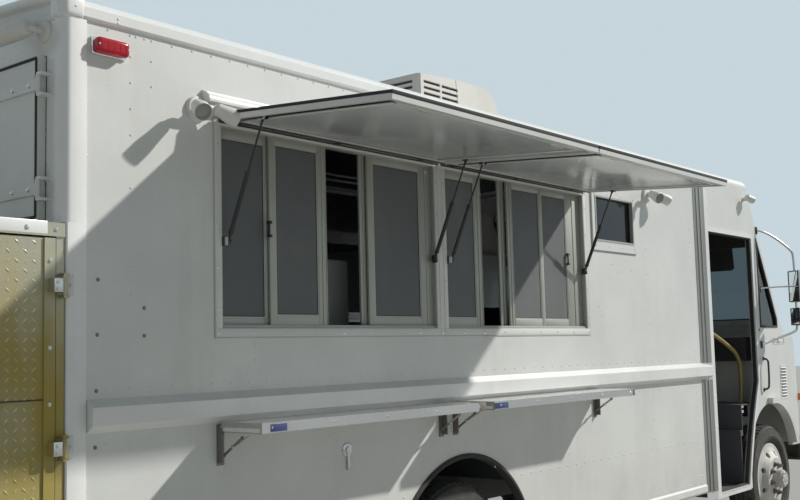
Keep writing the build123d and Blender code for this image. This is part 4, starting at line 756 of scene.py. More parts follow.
# A field of raised lozenges, each turned the other way from its neighbours
def addLozenges(bm, origin, rowWay, colWay, facing, rows, cols):
    facing, rowWay, colWay = Vector(facing), Vector(rowWay), Vector(colWay)
    start = at(*origin)
    for row in range(rows):
        for col in range(cols):
            place = start + rowWay * (row + 0.5) * plate["up"] + colWay * (col + 0.5) * plate["across"]
            sign = 1 if (row + col) % 2 else -1
            long = (colWay + rowWay * sign).normalized()
            wide = facing.cross(long)
            turn = Matrix((long, wide, facing)).transposed().to_4x4()
            size = Matrix.Diagonal((plate["long"] / 2, plate["wide"] / 2, plate["high"], 1))
            place = place + facing * (plate["high"] / 2 - 0.0003)
            bmesh.ops.create_cone(bm, cap_ends=True, segments=4, radius1=1, radius2=plate["crown"],
                                  depth=1, matrix=Matrix.Translation(place) @ turn @ size)


def makeDiamondPlates():
    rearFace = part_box("gas_box")[0].x - rearX
    low, high = plate["foot"], plate["head"]
    rowCount = int((high - low) / plate["up"])
    # the door's panel lies between its two stiles
    left, right = boxBack + 0.079, -0.078
    bm = bmesh.new()
    addLozenges(bm, (left + 0.003, curb(0), low), (0, 0, 1), (1, 0, 0), (0, -1, 0), rowCount,
                int((right - left) / plate["across"]))
    finishPiece(bm, "gas_door_lozenges", "lozenges", "gas_box_door", smooth=20)
    bm = bmesh.new()
    addLozenges(bm, (rearFace + 0.05, halfWidth, low), (0, 0, 1), (1, 0, 0), (0, 1, 0), rowCount,
                int(0.53 / plate["across"]))
    for start, end in ((-1.12, -0.02), (0.02, 1.12)):
        addLozenges(bm, (rearFace, start, low), (0, 0, 1), (0, 1, 0), (-1, 0, 0), rowCount,
                    int((end - start) / plate["across"]))
    finishPiece(bm, "box_lozenges", "lozenges", smooth=20)


# Bright rails, corner angles, seams and bolts round the rear box
def makeBoxTrims():
    bm = bmesh.new()
    back = boxBack
    for across in (-1.172, 1.140):
        addBlock(bm, (back - 0.004, across, 0.50), (back + 0.001, across + 0.032, 1.84), 0.001)
    addBlock(bm, (back - 0.005, -1.172, 1.838), (back + 0.001, 1.172, 1.886), 0.0015)
    addBlock(bm, (back - 0.004, -0.016, 0.50), (back + 0.001, 0.016, 1.84), 0.001)
    addBlock(bm, (back - 0.004, -1.14, 0.492), (back + 0.001, 1.14, 0.528), 0.001)
    addBlock(bm, (back, halfWidth - 0.001, 1.838), (-0.002, halfWidth + 0.005, 1.886), 0.0015)
    addBlock(bm, (back, halfWidth - 0.001, 0.492), (-0.002, halfWidth + 0.004, 0.528), 0.001)
    finishPiece(bm, "box_rails", "brightPaint")
    bm = bmesh.new()
    for across in [step * 0.2 for step in range(-5, 6)]:
        addBolt(bm, (back - 0.005, across, 1.862), rearFacing, 0.006, 0.004)
    for along in (-0.56, -0.42, -0.28, -0.14, -0.035):
        addBolt(bm, (along, curb(0.006), 1.862), curbFacing, 0.005, 0.003)
        addBolt(bm, (along, -curb(0.005), 1.862), driverFacing, 0.005, 0.003)
    for up in [0.6 + step * 0.2 for step in range(7)]:
        addBolt(bm, (back - 0.004, -1.156, up), rearFacing, 0.005, 0.003)
        addBolt(bm, (back - 0.004, 1.156, up), rearFacing, 0.005, 0.003)
    finishPiece(bm, "box_bolts", "stainless")


# The door's frame bolts, its seam strip (a painted shadow line) and its paddle latch
def makeBoxDoorTrims():
    bm = bmesh.new()
    for along in (-0.553, -0.057):
        for up in (0.58, 0.76, 0.94, 1.30, 1.48, 1.76):
            addBolt(bm, (along, curb(0.006), up), curbFacing, 0.005, 0.003)
    finishPiece(bm, "gas_door_bolts", "stainless", "gas_box_door")
    # a dark strip along the seam: a painted shadow line under the overlapping upper sheet
    bm = bmesh.new()
    addBlock(bm, (-0.530, curb(-0.0005), plate["seam"] - 0.0022),
             (-0.078, curb(0.0032), plate["seam"] + 0.0022), 0.0008)
    finishPiece(bm, "gas_door_seam_shadow", "iron", "gas_box_door")
    bm = bmesh.new()
    addBlock(bm, (-0.575, curb(0.0055), 1.10), (-0.490, curb(0.011), 1.22), 0.003)
    addBlock(bm, (-0.560, curb(0.010), 1.120), (-0.505, curb(0.022), 1.175), 0.004)
    addSpun(bm, [(0.0, 0.010), (0.009, 0.010), (0.009, 0.014), (0.006, 0.0155), (0.0, 0.0155)],
            (-0.533, curb(0), 1.197), curbFacing, 20)
    finishPiece(bm, "gas_door_latch", "stainless", "gas_box_door")
    bm = bmesh.new()
    for up in boxHinges:
        addBlock(bm, (-0.062, curb(0.033), up - 0.0225), (-0.030, curb(0.0395), up + 0.0225), 0.0015)
        for side in (-0.011, 0.011):
            addBolt(bm, (-0.049, curb(0.0395), up + side), curbFacing, 0.0045, 0.003)
    finishPiece(bm, "gas_door_hinge_leaves", "stainless", "gas_box_door")
    bm = bmesh.new()
    for up in boxHinges:
        addBlock(bm, (0.001, curb(-0.001), up - 0.036), (0.030, curb(0.012), up + 0.036), 0.003)
        addBolt(bm, (0.016, curb(0.012), up), curbFacing, 0.005, 0.003)
    finishPiece(bm, "body_hinge_blocks", "whitePaint")
    bm = bmesh.new()
    addBlock(bm, (-0.612, curb(-0.001), 1.846), (-0.066, curb(0.0065), 1.8885), 0.002)
    addBlock(bm, (-0.612, curb(-0.001), 1.885), (-0.066, curb(-0.030), 1.8885), 0.001)
    for along in (-0.56, -0.42, -0.28, -0.14):
        addBolt(bm, (along, curb(0.0065), 1.867), curbFacing, 0.005, 0.003)
    finishPiece(bm, "box_top_rail", "brightPaint")


makeDiamondPlates()
makeBoxTrims()
makeBoxDoorTrims()
print("rear box ready")

# Serving windows: rear and front edge of each
windows = {"rear": (0.672, 2.000), "front": (2.086, 3.414)}
# Each sash: rear and front edge from its window's own, depth of its face, then the width of its
# rear, front, foot and head bar
glazing = {"sill": 1.543, "head": 2.313, "flange": (0.640, 3.442, 1.511, 2.337), "post": (2.000, 2.086),
           "screwPitch": 0.17, "thick": 0.011, "small": (3.551, 4.018, 2.062, 2.324),
           "rear": ((0.004, 0.270, -0.024, 0.006, 0.020, 0.030, 0.036),
                    (0.262, 0.590, -0.010, 0.033, 0.050, 0.040, 0.030),
                    (0.830, 0.872, -0.034, 0.020, 0.021, 0.012, 0.012),
                    (0.866, 1.322, -0.018, 0.040, 0.086, 0.040, 0.030)),
           "front": ((0.004, 0.312, -0.010, 0.010, 0.056, 0.040, 0.036),
                     (0.504, 0.566, -0.034, 0.028, 0.029, 0.012, 0.012),
                     (0.556, 0.902, -0.012, 0.048, 0.032, 0.040, 0.030),
                     (0.886, 1.322, -0.024, 0.034, 0.152, 0.040, 0.030)),
           "pulls": ((0.928, -0.010), (3.262, -0.024))}


def rectangle(low, high, foot, top, across):
    return [(low, across, foot), (high, across, foot), (high, across, top), (low, across, top)]


# Two stiles with a rail between them at foot and head, a bead, a gasket, an insect screen and the pane
def addSash(frames, gaskets, panes, screens, low, high, face, bars):
    foot, top = glazing["sill"] + 0.010, glazing["head"] - 0.002
    back = face - glazing["thick"]
    rear, front, lower, upper = bars
    addBlock(frames, (low, curb(back), foot), (low + rear, curb(face), top), 0.0015)
    addBlock(frames, (high - front, curb(back), foot), (high, curb(face), top), 0.0015)
    left, right = low + rear, high - front
    if right - left < 0.02:
        return
    for railLow, railHigh in ((foot, foot + lower), (top - upper, top)):
        addBlock(frames, (left - 0.001, curb(back), railLow), (right + 0.001, curb(face - 0.0008), railHigh),
                 0.0015)
    for start, end in ((low, left), (right, high)):          # a raised rib runs up each broad stile
        if end - start > 0.045:
            middle = (start + end) / 2
            for ribLow, ribHigh, proud in ((middle - 0.003, middle + 0.003, 0.003),
                                           (end - 0.004, end, 0.002)):
                addBlock(frames, (ribLow, curb(face - 0.001), foot + 0.001),
                         (ribHigh, curb(face + proud), top - 0.001), 0.001)
    opening = rectangle(left, right, foot + lower, top - upper, curb(face - 0.0008))
    addFrame(frames, opening, 0.0005, -0.006, -0.006, -0.0015)
    addFrame(gaskets, opening, -0.005, -0.0085, -0.006, -0.002)
    addBlock(screens, (left + 0.004, curb(face - 0.0042), foot + lower + 0.004),
             (right - 0.004, curb(face - 0.0050), top - upper - 0.004), 0)
    addBlock(panes, (left + 0.001, curb(face - 0.0060), foot + lower + 0.001),
             (right - 0.001, curb(face - 0.0095), top - upper - 0.001), 0)


# A flat frame of four mitred boards between an outer and an inner rectangle
def addMitred(bm, outer, inner, face, thick):
    (lowA, highA, footA, topA), (lowB, highB, footB, topB) = outer, inner
    outside = rectangle(lowA, highA, footA, topA, curb(face))
    inside = rectangle(lowB, highB, footB, topB, curb(face))
    for i in range(4):
        after = (i + 1) % 4
        verts = addSlab(bm, [outside[i], outside[after], inside[after], inside[i]], (0, thick, 0))
        softenEdges(bm, verts, 0.0012, 1)


def makeWindowFrames():
    frames, gaskets, panes, screens, flange, pulls = (bmesh.new() for _ in range(6))
    sill, head = glazing["sill"], glazing["head"]
    for name, (low, high) in windows.items():
        for start, end, face, *bars in glazing[name]:
            addSash(frames, gaskets, panes, screens, low + start, low + end, face, bars)
        # sill with two ribs, head track and the lining of the opening
        addBlock(frames, (low, curb(-0.004), sill), (high, curb(-0.040), sill + 0.010), 0.001)
        addBlock(frames, (low, curb(-0.004), head - 0.004), (high, curb(-0.040), head), 0.001)
        for rib in (-0.008, -0.023, -0.036):
            addBlock(frames, (low, curb(rib), sill + 0.009), (high, curb(rib - 0.002), sill + 0.014), 0.0005)
        for along in (low, high - 0.004):
            addBlock(frames, (along, curb(0.002), sill + 0.010), (along + 0.004, curb(-0.040), head - 0.004),
                     0.0008)
    left, right, foot, top = glazing["flange"]
    post = glazing["post"]
    for low, high, start, end in ((left, right, foot, sill), (left, right, head, top),
                                  (left, windows["rear"][0], sill, head),
                                  (windows["front"][1], right, sill, head), (*post, sill, head)):
        addBlock(flange, (low, curb(0.004), start), (high, curb(-0.0005), end), 0.0012)
    for along in (post[0] + 0.026, post[1] - 0.026):         # two folds run down the post between the windows
        addBlock(flange, (along - 0.004, curb(0.003), sill - 0.03),
                 (along + 0.004, curb(0.0062), head + 0.004), 0.001)
    for along, face in glazing["pulls"]:
        for up in (1.908, 1.962):
            addBlock(pulls, (along - 0.009, curb(face + 0.013), up - 0.006),
                     (along + 0.009, curb(face - 0.001), up + 0.006), 0.002)
        addBlock(pulls, (along - 0.009, curb(face + 0.013), 1.902),
                 (along - 0.002, curb(face + 0.005), 1.968), 0.002)
    # the small window: a mitred surround, an inner bead and its pane
    low, high, foot, top = glazing["small"]
    addMitred(flange, (low - 0.040, high + 0.040, foot - 0.060, top + 0.030), (low, high, foot, top), 0.010,
              0.010)
    small = rectangle(low, high, foot, top, curb(0.010))
    addFrame(frames, small, 0.005, -0.005, -0.036, 0.003)
    addFrame(gaskets, small, -0.004, -0.010, -0.026, -0.018)
    addBlock(panes, (low + 0.003, curb(-0.014), foot + 0.003), (high - 0.003, curb(-0.020), top - 0.003), 0)
    finishPiece(frames, "window_sashes", "sashMetal", replaces=("window_frames",))
    finishPiece(flange, "window_surrounds", "whitePaint")
    finishPiece(gaskets, "window_gaskets", "rubber")
    finishPiece(panes, "window_panes", "darkGlass")
    finishPiece(screens, "window_screens", "insectScreen")
    finishPiece(pulls, "window_pulls", "darkPlastic")


def makeWindowScrews():
    bm = bmesh.new()
    left, right, low, high = glazing["flange"]
    edge = 0.013
    for up in (low + edge, high - edge):
        rivetLine(bm, (left + edge, curb(0.004), up), (right - edge, curb(0.004), up), glazing["screwPitch"],
                  curbFacing)
    for along in (left + edge, right - edge, 2.014, 2.072):
        rivetLine(bm, (along, curb(0.004), low + 0.1), (along, curb(0.004), high - 0.1), 0.15, curbFacing)
    start, end, foot, top = glazing["small"]
    for up in (foot - 0.032, top + 0.016):
        rivetLine(bm, (start - 0.01, curb(0.010), up), (end + 0.01, curb(0.010), up), 0.15, curbFacing)
    finishPiece(bm, "window_screws", "stainless")
    bm = bmesh.new()
    addFrame(bm, rectangle(left, right, low, high, curb(0)), 0.0055, -0.001, -0.0005, 0.0035)
    addFrame(bm, rectangle(3.511, 4.058, 2.002, 2.354, curb(0)), 0.005, -0.001, -0.0005, 0.004)
    finishPiece(bm, "window_sealant", "sealant")


makeWindowFrames()
makeWindowScrews()
print("windows ready")

# Serving hatches, struts and shelves
hatches = {"rear": (0.656, 2.038), "front": (2.050, 3.425)}
hatch = {"hinge": (0.034, 2.350), "droop": 4.1, "length": 0.832, "skin": 0.006, "liningUp": -0.0215,
         "liningIn": 0.046, "latchIn": 0.25}


# Turns a hatch that was drawn level, outwards from its hinge line, down to how it stands
def swingHatch(bm):
    hinge = at(0, curb(hatch["hinge"][0]), hatch["hinge"][1])
    bmesh.ops.rotate(bm, cent=hinge, matrix=Matrix.Rotation(math.radians(hatch["droop"]), 3, "X"),
                     verts=bm.verts[:])


def onHatch(along, outward, up):
    return (along, curb(hatch["hinge"][0] + outward), hatch["hinge"][1] + up)


def makeHatchParts(name):
    low, high = hatches[name]
    long = hatch["length"]
    body = f"hatch_{name}"
    bm = bmesh.new()
    # one smooth lining sheet between the struts, a little above the frame's edge, with a folded hem
    deep = hatch["liningUp"]
    start, end = windows[name][0] + hatch["liningIn"], windows[name][1] - hatch["liningIn"]
    addBlock(bm, onHatch(start, 0.026, deep), onHatch(end, long - 0.030, deep + 0.0015), 0.0005)
    for fold in (start, end - 0.012):
        addBlock(bm, onHatch(fold, 0.026, deep - 0.0012), onHatch(fold + 0.012, long - 0.030, deep + 0.002),
                 0.0008)
    for outward in (0.026, long - 0.042):
        addBlock(bm, onHatch(start, outward, deep - 0.0012), onHatch(end, outward + 0.012, deep + 0.002),
                 0.0008)
    # narrow strips beside the struts close the frame's ends
    for strip in (low + 0.016, high - 0.024):
        addBlock(bm, onHatch(strip, 0.021, 0.0), onHatch(strip + 0.008, long - 0.025, 0.0028), 0)
    swingHatch(bm)
    finishPiece(bm, f"hatch_lining_{name}", "hatchInside", body)
    # a pale hem all round the lining, the dark moulding on the outer edges, and the seals at the hinge
    bm = bmesh.new()
    for fold in (start, end - 0.020):
        addBlock(bm, onHatch(fold, 0.030, deep - 0.0030), onHatch(fold + 0.020, long - 0.034, deep), 0.0012)
    for outward in (0.028, long - 0.052):
        addBlock(bm, onHatch(start, outward, deep - 0.0030), onHatch(end, outward + 0.020, deep), 0.0012)
    swingHatch(bm)
    finishPiece(bm, f"hatch_hem_{name}", "whitePaint", body)
    bm = bmesh.new()
    addBlock(bm, onHatch(low - 0.001, long - 0.006, -0.0065), onHatch(high + 0.001, long + 0.0015, 0.0075),
             0.0015)
    for edge in (low - 0.0015, high - 0.003):
        addBlock(bm, onHatch(edge, 0.020, -0.0045), onHatch(edge + 0.0045, long, 0.0075), 0.0012)
    swingHatch(bm)
    finishPiece(bm, f"hatch_moulding_{name}", "rubber", body)
    bm = bmesh.new()
    addBlock(bm, onHatch(low + 0.006, 0.006, -0.0268), onHatch(high - 0.006, 0.020, -0.0215), 0.0015)
    swingHatch(bm)
    finishPiece(bm, f"hatch_seal_{name}", "rubber", body)
    # a dark rubber strip from the window head up to the hinge, drawn deep so that it also paints the shade
    # under the hinge
    bm = bmesh.new()
    addBlock(bm, (low + 0.004, curb(0.0035), glazing["head"] + 0.0085),
             (high - 0.004, curb(0.0066), glazing["head"] + 0.0325), 0.001)
    finishPiece(bm, f"hinge_shade_strip_{name}", "rubber")
    bm = bmesh.new()
    # edge trim over the skin and the hems of its ends
    top = hatch["skin"]
    addBlock(bm, onHatch(low - 0.0005, long - 0.030, top - 0.0005),
             onHatch(high + 0.0005, long + 0.0005, top + 0.0008), 0.0006)
    for edge in (low, high - 0.018):
        addBlock(bm, onHatch(edge - 0.0002, 0.03, top - 0.0005),
                 onHatch(edge + 0.0182, long - 0.03, top + 0.0008), 0.0006)
    for startAlong, startOut, endAlong, endOut in ((low + 0.03, long - 0.015, high - 0.03, long - 0.015),
                                                   (low + 0.009, 0.08, low + 0.009, long - 0.06),
                                                   (high - 0.009, 0.08, high - 0.009, long - 0.06)):
        rivetLine(bm, onHatch(startAlong, startOut, top + 0.0006), onHatch(endAlong, endOut, top + 0.0006),
                  0.11, upFacing)
    swingHatch(bm)
    finishPiece(bm, f"hatch_edge_trim_{name}", "brightPaint", body)
    bm = bmesh.new()
    # a turned latch near each front corner
    for along in (low + hatch["latchIn"], high - hatch["latchIn"]):
        addBlock(bm, onHatch(along - 0.045, long - 0.10, -0.004), onHatch(along + 0.045, long - 0.03, 0.001),
                 0.002)
        addRod(bm, onHatch(along, long - 0.066, -0.020), onHatch(along, long - 0.066, 0), 0.010, sides=20,
               soften=0.001)
        addBlock(bm, onHatch(along - 0.030, long - 0.073, -0.024),
                 onHatch(along + 0.030, long - 0.059, -0.016), 0.004)
        for shift in (-0.036, 0.036):
            addRivet(bm, onHatch(along + shift, long - 0.088, -0.004), downFacing)
    swingHatch(bm)
    finishPiece(bm, f"hatch_latches_{name}", "stainless", body)


strut = {"inset": 0.024, "foot": (0.014, 1.870), "reach": 0.180, "drop": 0.022}


def strutPoint(share):
    droop = math.radians(hatch["droop"])
    topOut = hatch["hinge"][0] + strut["reach"] * math.cos(droop) - strut["drop"] * math.sin(droop)
    topUp = hatch["hinge"][1] - strut["reach"] * math.sin(droop) - strut["drop"] * math.cos(droop)
    footOut, footUp = strut["foot"]
    return footOut + share * (topOut - footOut), footUp + share * (topUp - footUp)


def makeStrutParts(name):
    low, high = windows[name]
    tubes, rods, feet, cheeks = (bmesh.new() for _ in range(4))
    for along in (low + strut["inset"], high - strut["inset"]):
        def spot(share):
            out, up = strutPoint(share)
            return along, curb(out), up
        direction = at(*spot(1)) - at(*spot(0))
        addSpun(tubes, [(0.0045, 0.0), (0.0096, 0.0), (0.0102, 0.003), (0.0102, 0.016), (0.0092, 0.020),
                        (0.0045, 0.020)],
                spot(0.535), direction, 24)
        addSpun(tubes, [(0.0, 0.0), (0.006, 0.0), (0.0104, 0.012), (0.0104, 0.020), (0.0, 0.020)],
                spot(0.045), direction, 24)
        addSpun(rods, [(0.0, 0.0), (0.0046, 0.0), (0.0062, 0.004), (0.0062, 0.011), (0.0048, 0.014),
                       (0.0, 0.014)],
                spot(0.9625), direction, 24)
        # a foot plate on the reveal and a cheek plate under the hatch
        side = 1 if along > (low + high) / 2 else -1
        wall = along + side * strut["inset"]
        footUp = strut["foot"][1]
        addBlock(feet, (along + side * 0.0065, curb(0.0235), footUp - 0.0175),
                 (wall - side * 0.0125, curb(-0.011), footUp + 0.0175), 0.002)
        addBlock(feet, (along + side * 0.0075, curb(0.0070), footUp - 0.0175),
                 (wall, curb(-0.011), footUp + 0.0175), 0.002)
        addRod(feet, (along - side * 0.0095, curb(strut["foot"][0]), footUp),
               (along + side * 0.007, curb(strut["foot"][0]), footUp), 0.0075, sides=16)
        reach, drop = strut["reach"], -strut["drop"]
        addBlock(cheeks, onHatch(along - 0.021, reach - 0.032, -0.0025),
                 onHatch(along + 0.021, reach + 0.032, 0.0003), 0.001)
        for cheek in (-0.0155, 0.0130):
            addSlab(cheeks,
                    [onHatch(along + cheek, reach - 0.026, 0), onHatch(along + cheek, reach + 0.026, 0),
                     onHatch(along + cheek, reach + 0.009, drop - 0.007),
                     onHatch(along + cheek, reach - 0.009, drop - 0.007)],
                    (0.0025, 0, 0))
    swingHatch(cheeks)
    finishPiece(feet, f"strut_feet_{name}", "blackSteel")
    finishPiece(cheeks, f"strut_cheeks_{name}", "blackSteel", f"hatch_{name}")
    finishPiece(tubes, f"strut_collars_{name}", "blackSteel", f"strut_tubes_{name}")
    finishPiece(rods, f"strut_sockets_{name}", "blackSteel", f"strut_rods_{name}")


shelves = {"rear": (0.638, 2.024), "front": (2.096, 3.482)}
shelf = {"top": 1.200, "depth": 0.245, "lip": 0.037, "hinge": 0.026,
         "patch": {"rear": (0.041, 0.124), "front": (0.001, 0.112)},
         "endCap": {"rear": 0.050, "front": 0.020},
         "lever": ((0.004, 0.062, 1.108), (0.012, 0.085, 1.120), (0.014, 0.110, 1.1365),
                   (0.014, 0.130, 1.1485))}


def makeShelfParts(name):
    low, high = shelves[name]
    top, lip = shelf["top"], shelf["top"] - shelf["lip"]
    body = f"shelf_{name}"
    far, near = curb(shelf["depth"]), curb(shelf["hinge"] + 0.006)
    bm = bmesh.new()
    # turned-down end caps, a rear stiffener and hems under the board
    under = top - 0.020
    for along in (low + 0.0005, high - 0.0045):
        addBlock(bm, (along, far + 0.002, top - 0.034), (along + 0.004, near - 0.004, top - 0.001), 0.0008)
    addBlock(bm, (low + 0.03, near - 0.010, under - 0.010), (high - 0.03, near - 0.004, under + 0.001), 0.001)
    addBlock(bm, (low + 0.05, far + 0.012, lip), (high - 0.05, far + 0.024, lip + 0.0025), 0.0008)
    for share in (0.33, 0.67):
        along = low + share * (high - low)
        addBlock(bm, (along - 0.012, far + 0.014, under - 0.008),
                 (along + 0.012, near - 0.012, under + 0.001), 0.001)
    finishPiece(bm, f"shelf_hems_{name}", "brightPaint", body)
    bm = bmesh.new()
    rivetLine(bm, (low + 0.05, near - 0.012, top), (high - 0.05, near - 0.012, top), 0.16, upFacing)
    rivetLine(bm, (low + 0.05, far, top - 0.019), (high - 0.05, far, top - 0.019), 0.32, curbFacing)
    finishPiece(bm, f"shelf_rivets_{name}", "stainless", body)
    bm = bmesh.new()
    start, end = (low + step for step in shelf["patch"][name])
    addBlock(bm, (start, far - 0.0010, top - 0.034), (end, far + 0.0005, top - 0.006), 0.0007)
    finishPiece(bm, f"shelf_patch_{name}", "bluePlastic", body)
    bm = bmesh.new()
    cap = shelf["endCap"][name]
    addBlock(bm, (high - cap, far - 0.0012, lip), (high + 0.0012, far + 0.0005, top + 0.0012), 0.0008)
    addBlock(bm, (high - cap, far - 0.0012, top - 0.0005), (high + 0.0012, far + 0.050, top + 0.0012), 0.0008)
    addBlock(bm, (high - 0.0005, far, lip), (high + 0.0015, near - 0.010, top + 0.001), 0.0008)
    finishPiece(bm, f"shelf_end_cap_{name}", "bracketSteel", body)
    # release levers ride on the stays
    bm = bmesh.new()
    for along, side in ((low + 0.027, 1), (high - 0.027, -1)):
        addTube(bm, [(along + side * inward, curb(out), up) for inward, out, up in shelf["lever"]], 0.0028)
        addRod(bm, (along - 0.006, curb(0.063), 1.109), (along + 0.006, curb(0.063), 1.109), 0.0075,
               sides=16, soften=0.0006)
    finishPiece(bm, f"shelf_levers_{name}", "stainless", f"shelf_stays_{name}")


def makeBracketBolts():
    bm = bmesh.new()
    for low, high in shelves.values():
        for along in (low + 0.024, high - 0.024):
            addBolt(bm, (along, curb(0.004), 1.178), curbFacing, 0.0065, 0.004)
    finishPiece(bm, "bracket_bolts", "stainless")


for windowName in windows:
    makeHatchParts(windowName)
    makeStrutParts(windowName)
    makeShelfParts(windowName)
makeBracketBolts()
print("hatches and shelves ready")

# Lamps
lamps = {"marker": (0.096, 0.236, 2.474, 2.536), "tail": (1.05, 0.640, 0.760), "head": (0.820, 0.960, 1.000),
         "flood": ((0.556, 2.356), (4.235, 2.394)), "rearFlood": (-1.005, 2.560)}


def makeMarkerLamps():
    start, end, low, high = lamps["marker"]
    base, lens, screws = bmesh.new(), bmesh.new(), bmesh.new()
    addBlock(base, (start, curb(-0.0002), low), (end, curb(0.010), high), 0.003)
    addBlock(lens, (start + 0.004, curb(0.008), low + 0.004), (end - 0.004, curb(0.042), high - 0.004),
             0.014, 5)
    for step in range(5):
        along = start + 0.022 + step * 0.024
        addBlock(lens, (along - 0.0015, curb(0.039), low + 0.016),
                 (along + 0.0015, curb(0.0428), high - 0.016), 0.0006)
    for along in (start + 0.011, end - 0.011):
        addRivet(screws, (along, curb(0.040), (low + high) / 2), curbFacing, (0.004, 0.003, 0.0014))
    finishPiece(base, "marker_bases", "chrome", bothSides=True)
    finishPiece(lens, "marker_lenses", "redLens", bothSides=True, replaces=("marker_lamps",))
    finishPiece(screws, "marker_screws", "stainless", bothSides=True)
    # tail lamps: a dark housing with a red, a white and an amber lens
    across, low, high = lamps["tail"]
    house, red, clear, amber = (bmesh.new() for _ in range(4))
    back = boxBack
    addBlock(house, (back - 0.0235, -across - 0.060, low), (back + 0.0002, -across + 0.060, high), 0.008, 3)
    addBlock(red, (back - 0.033, -across - 0.054, low + 0.006), (back - 0.020, -across + 0.054, low + 0.068),
             0.004, 3)
    addBlock(clear, (back - 0.032, -across - 0.054, low + 0.071),
             (back - 0.020, -across - 0.002, high - 0.006), 0.004, 3)
    addBlock(amber, (back - 0.032, -across + 0.002, low + 0.071),
             (back - 0.020, -across + 0.054, high - 0.006), 0.004, 3)
    finishPiece(house, "tail_housings", "darkPlastic", bothSides=True)
    finishPiece(red, "tail_red", "redLens", bothSides=True)
    finishPiece(clear, "tail_clear", "clearLens", bothSides=True)
    finishPiece(amber, "tail_amber", "amberLens", bothSides=True)


def makeFloodlights():
    shell, glass = bmesh.new(), bmesh.new()
    for along, up in lamps["flood"]:
        addSpun(shell, [(0, 0), (0.050, 0), (0.050, 0.006), (0.044, 0.014), (0.020, 0.018), (0, 0.018)],
                (along, curb(0), up), curbFacing, 40)
        addBlock(shell, (along - 0.050, curb(0.040), up - 0.010), (along + 0.050, curb(0.062), up + 0.010),
                 0.006, 3)
        addRod(shell, (along, curb(0.014), up), (along, curb(0.050), up), 0.016, sides=24, soften=0.002)
        for lampAlong in (along - 0.046, along + 0.046):
            way = Vector((-0.34, -0.78, -0.46) if lampAlong < along else (0.78, -0.42, -0.40)).normalized()
            foot = (lampAlong, curb(0.058), up)
            addBall(shell, (lampAlong, curb(0.056), up + 0.001), 0.013)
            addSpun(shell, [(0.0, -0.002), (0.016, -0.002), (0.024, 0.006), (0.027, 0.030), (0.0335, 0.062),
                            (0.0335, 0.094),
                            (0.0305, 0.094), (0.0295, 0.080), (0.024, 0.060), (0.0, 0.052)], foot, way, 32)
            addSpun(glass, [(0.0, 0.084), (0.0292, 0.084), (0.0292, 0.087), (0.018, 0.090), (0.0, 0.091)],
                    foot, way, 32)
    # the rear one hangs from a plate on the header and looks across the doors
    across, up = lamps["rearFlood"]
    addSpun(shell, [(0, 0), (0.040, 0), (0.040, 0.006), (0.032, 0.014), (0, 0.016)],
            (0, across - 0.045, up - 0.005), rearFacing, 32)
    addRod(shell, (-0.012, across - 0.045, up - 0.005), (-0.058, across - 0.030, up), 0.013, sides=20,
           soften=0.002)
    foot, way = (-0.060, across - 0.040, up), Vector((-0.16, 0.97, -0.08)).normalized()
    addSpun(shell, [(0.0, 0.0), (0.018, 0.0), (0.029, 0.010), (0.033, 0.040), (0.033, 0.155), (0.029, 0.155),
                    (0.028, 0.130),
                    (0.0, 0.120)], foot, way, 36)
    addSpun(glass, [(0.0, 0.138), (0.0285, 0.138), (0.0285, 0.142), (0.016, 0.145), (0.0, 0.146)], foot, way,
            32)
    finishPiece(shell, "floodlight_shells", "whitePlastic", replaces=("floodlights",))
    finishPiece(glass, "floodlight_glass", "clearLens")


def makeHeadlamps():
    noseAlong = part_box("headlamps")[1].x - rearX - 0.016
    near, far, up = lamps["head"]
    bezel, lens, bowl = bmesh.new(), bmesh.new(), bmesh.new()
    for across in (-near, -far):
        place = (noseAlong, across, up)
        addSpun(bezel, [(0.0520, -0.020), (0.0606, -0.020), (0.0606, 0.004), (0.0640, 0.006),
                        (0.0640, 0.012), (0.0560, 0.0155),
                        (0.0520, 0.012)], place, frontFacing, 48)
        addSpun(bowl, [(0.0, -0.0275), (0.020, -0.027), (0.046, -0.012), (0.0525, 0.002), (0.0505, 0.002),
                       (0.044, -0.010),
                       (0.019, -0.0245), (0.0, -0.025)], place, frontFacing, 48)
        addSpun(bowl, [(0.0, -0.025), (0.006, -0.025), (0.006, -0.008), (0.0, -0.004)], place, frontFacing,
                20)
        addSpun(lens, [(0.0, 0.0100), (0.020, 0.0096), (0.040, 0.0066), (0.0523, 0.002), (0.0523, 0.0048),
                       (0.040, 0.0102),
                       (0.020, 0.0138), (0.0, 0.0148)], place, frontFacing, 48)
    finishPiece(bezel, "headlamp_bezels", "chrome", bothSides=True)
    finishPiece(bowl, "headlamp_bowls", "chrome", bothSides=True)
    finishPiece(lens, "headlamp_lenses", "clearLens", bothSides=True, replaces=("headlamps",))


makeMarkerLamps()
makeFloodlights()
makeHeadlamps()
print("lamps ready")

# Wheel arches and wheels
arch = {"place": (2.190, 0.356), "radius": 0.575, "foot": 0.442}


def makeArchTrims():
    bm = bmesh.new()
    along, up = arch["place"]
    reach = arch["radius"]
    half = math.pi / 2 - math.asin((arch["foot"] - up) / reach)
    # a rolled rubber section turned round the arch from skirt to skirt
    section = [(reach - 0.008, -0.034), (reach + 0.0005, -0.034), (reach + 0.0005, 0.0005),
               (reach + 0.015, 0.0005),
               (reach + 0.015, 0.005), (reach + 0.006, 0.012), (reach - 0.004, 0.012), (reach - 0.008, 0.006)]
    addSpun(bm, section, (along, curb(0), up), curbFacing, 56, 2 * half, -half)
    finishPiece(bm, "arch_trims", "rubber", bothSides=True)


tyre = {"half": 0.1075, "bead": 0.252, "top": 0.405, "groove": 0.011, "lugs": 56, "front": 1.052,
        "rear": (1.004, 0.740)}


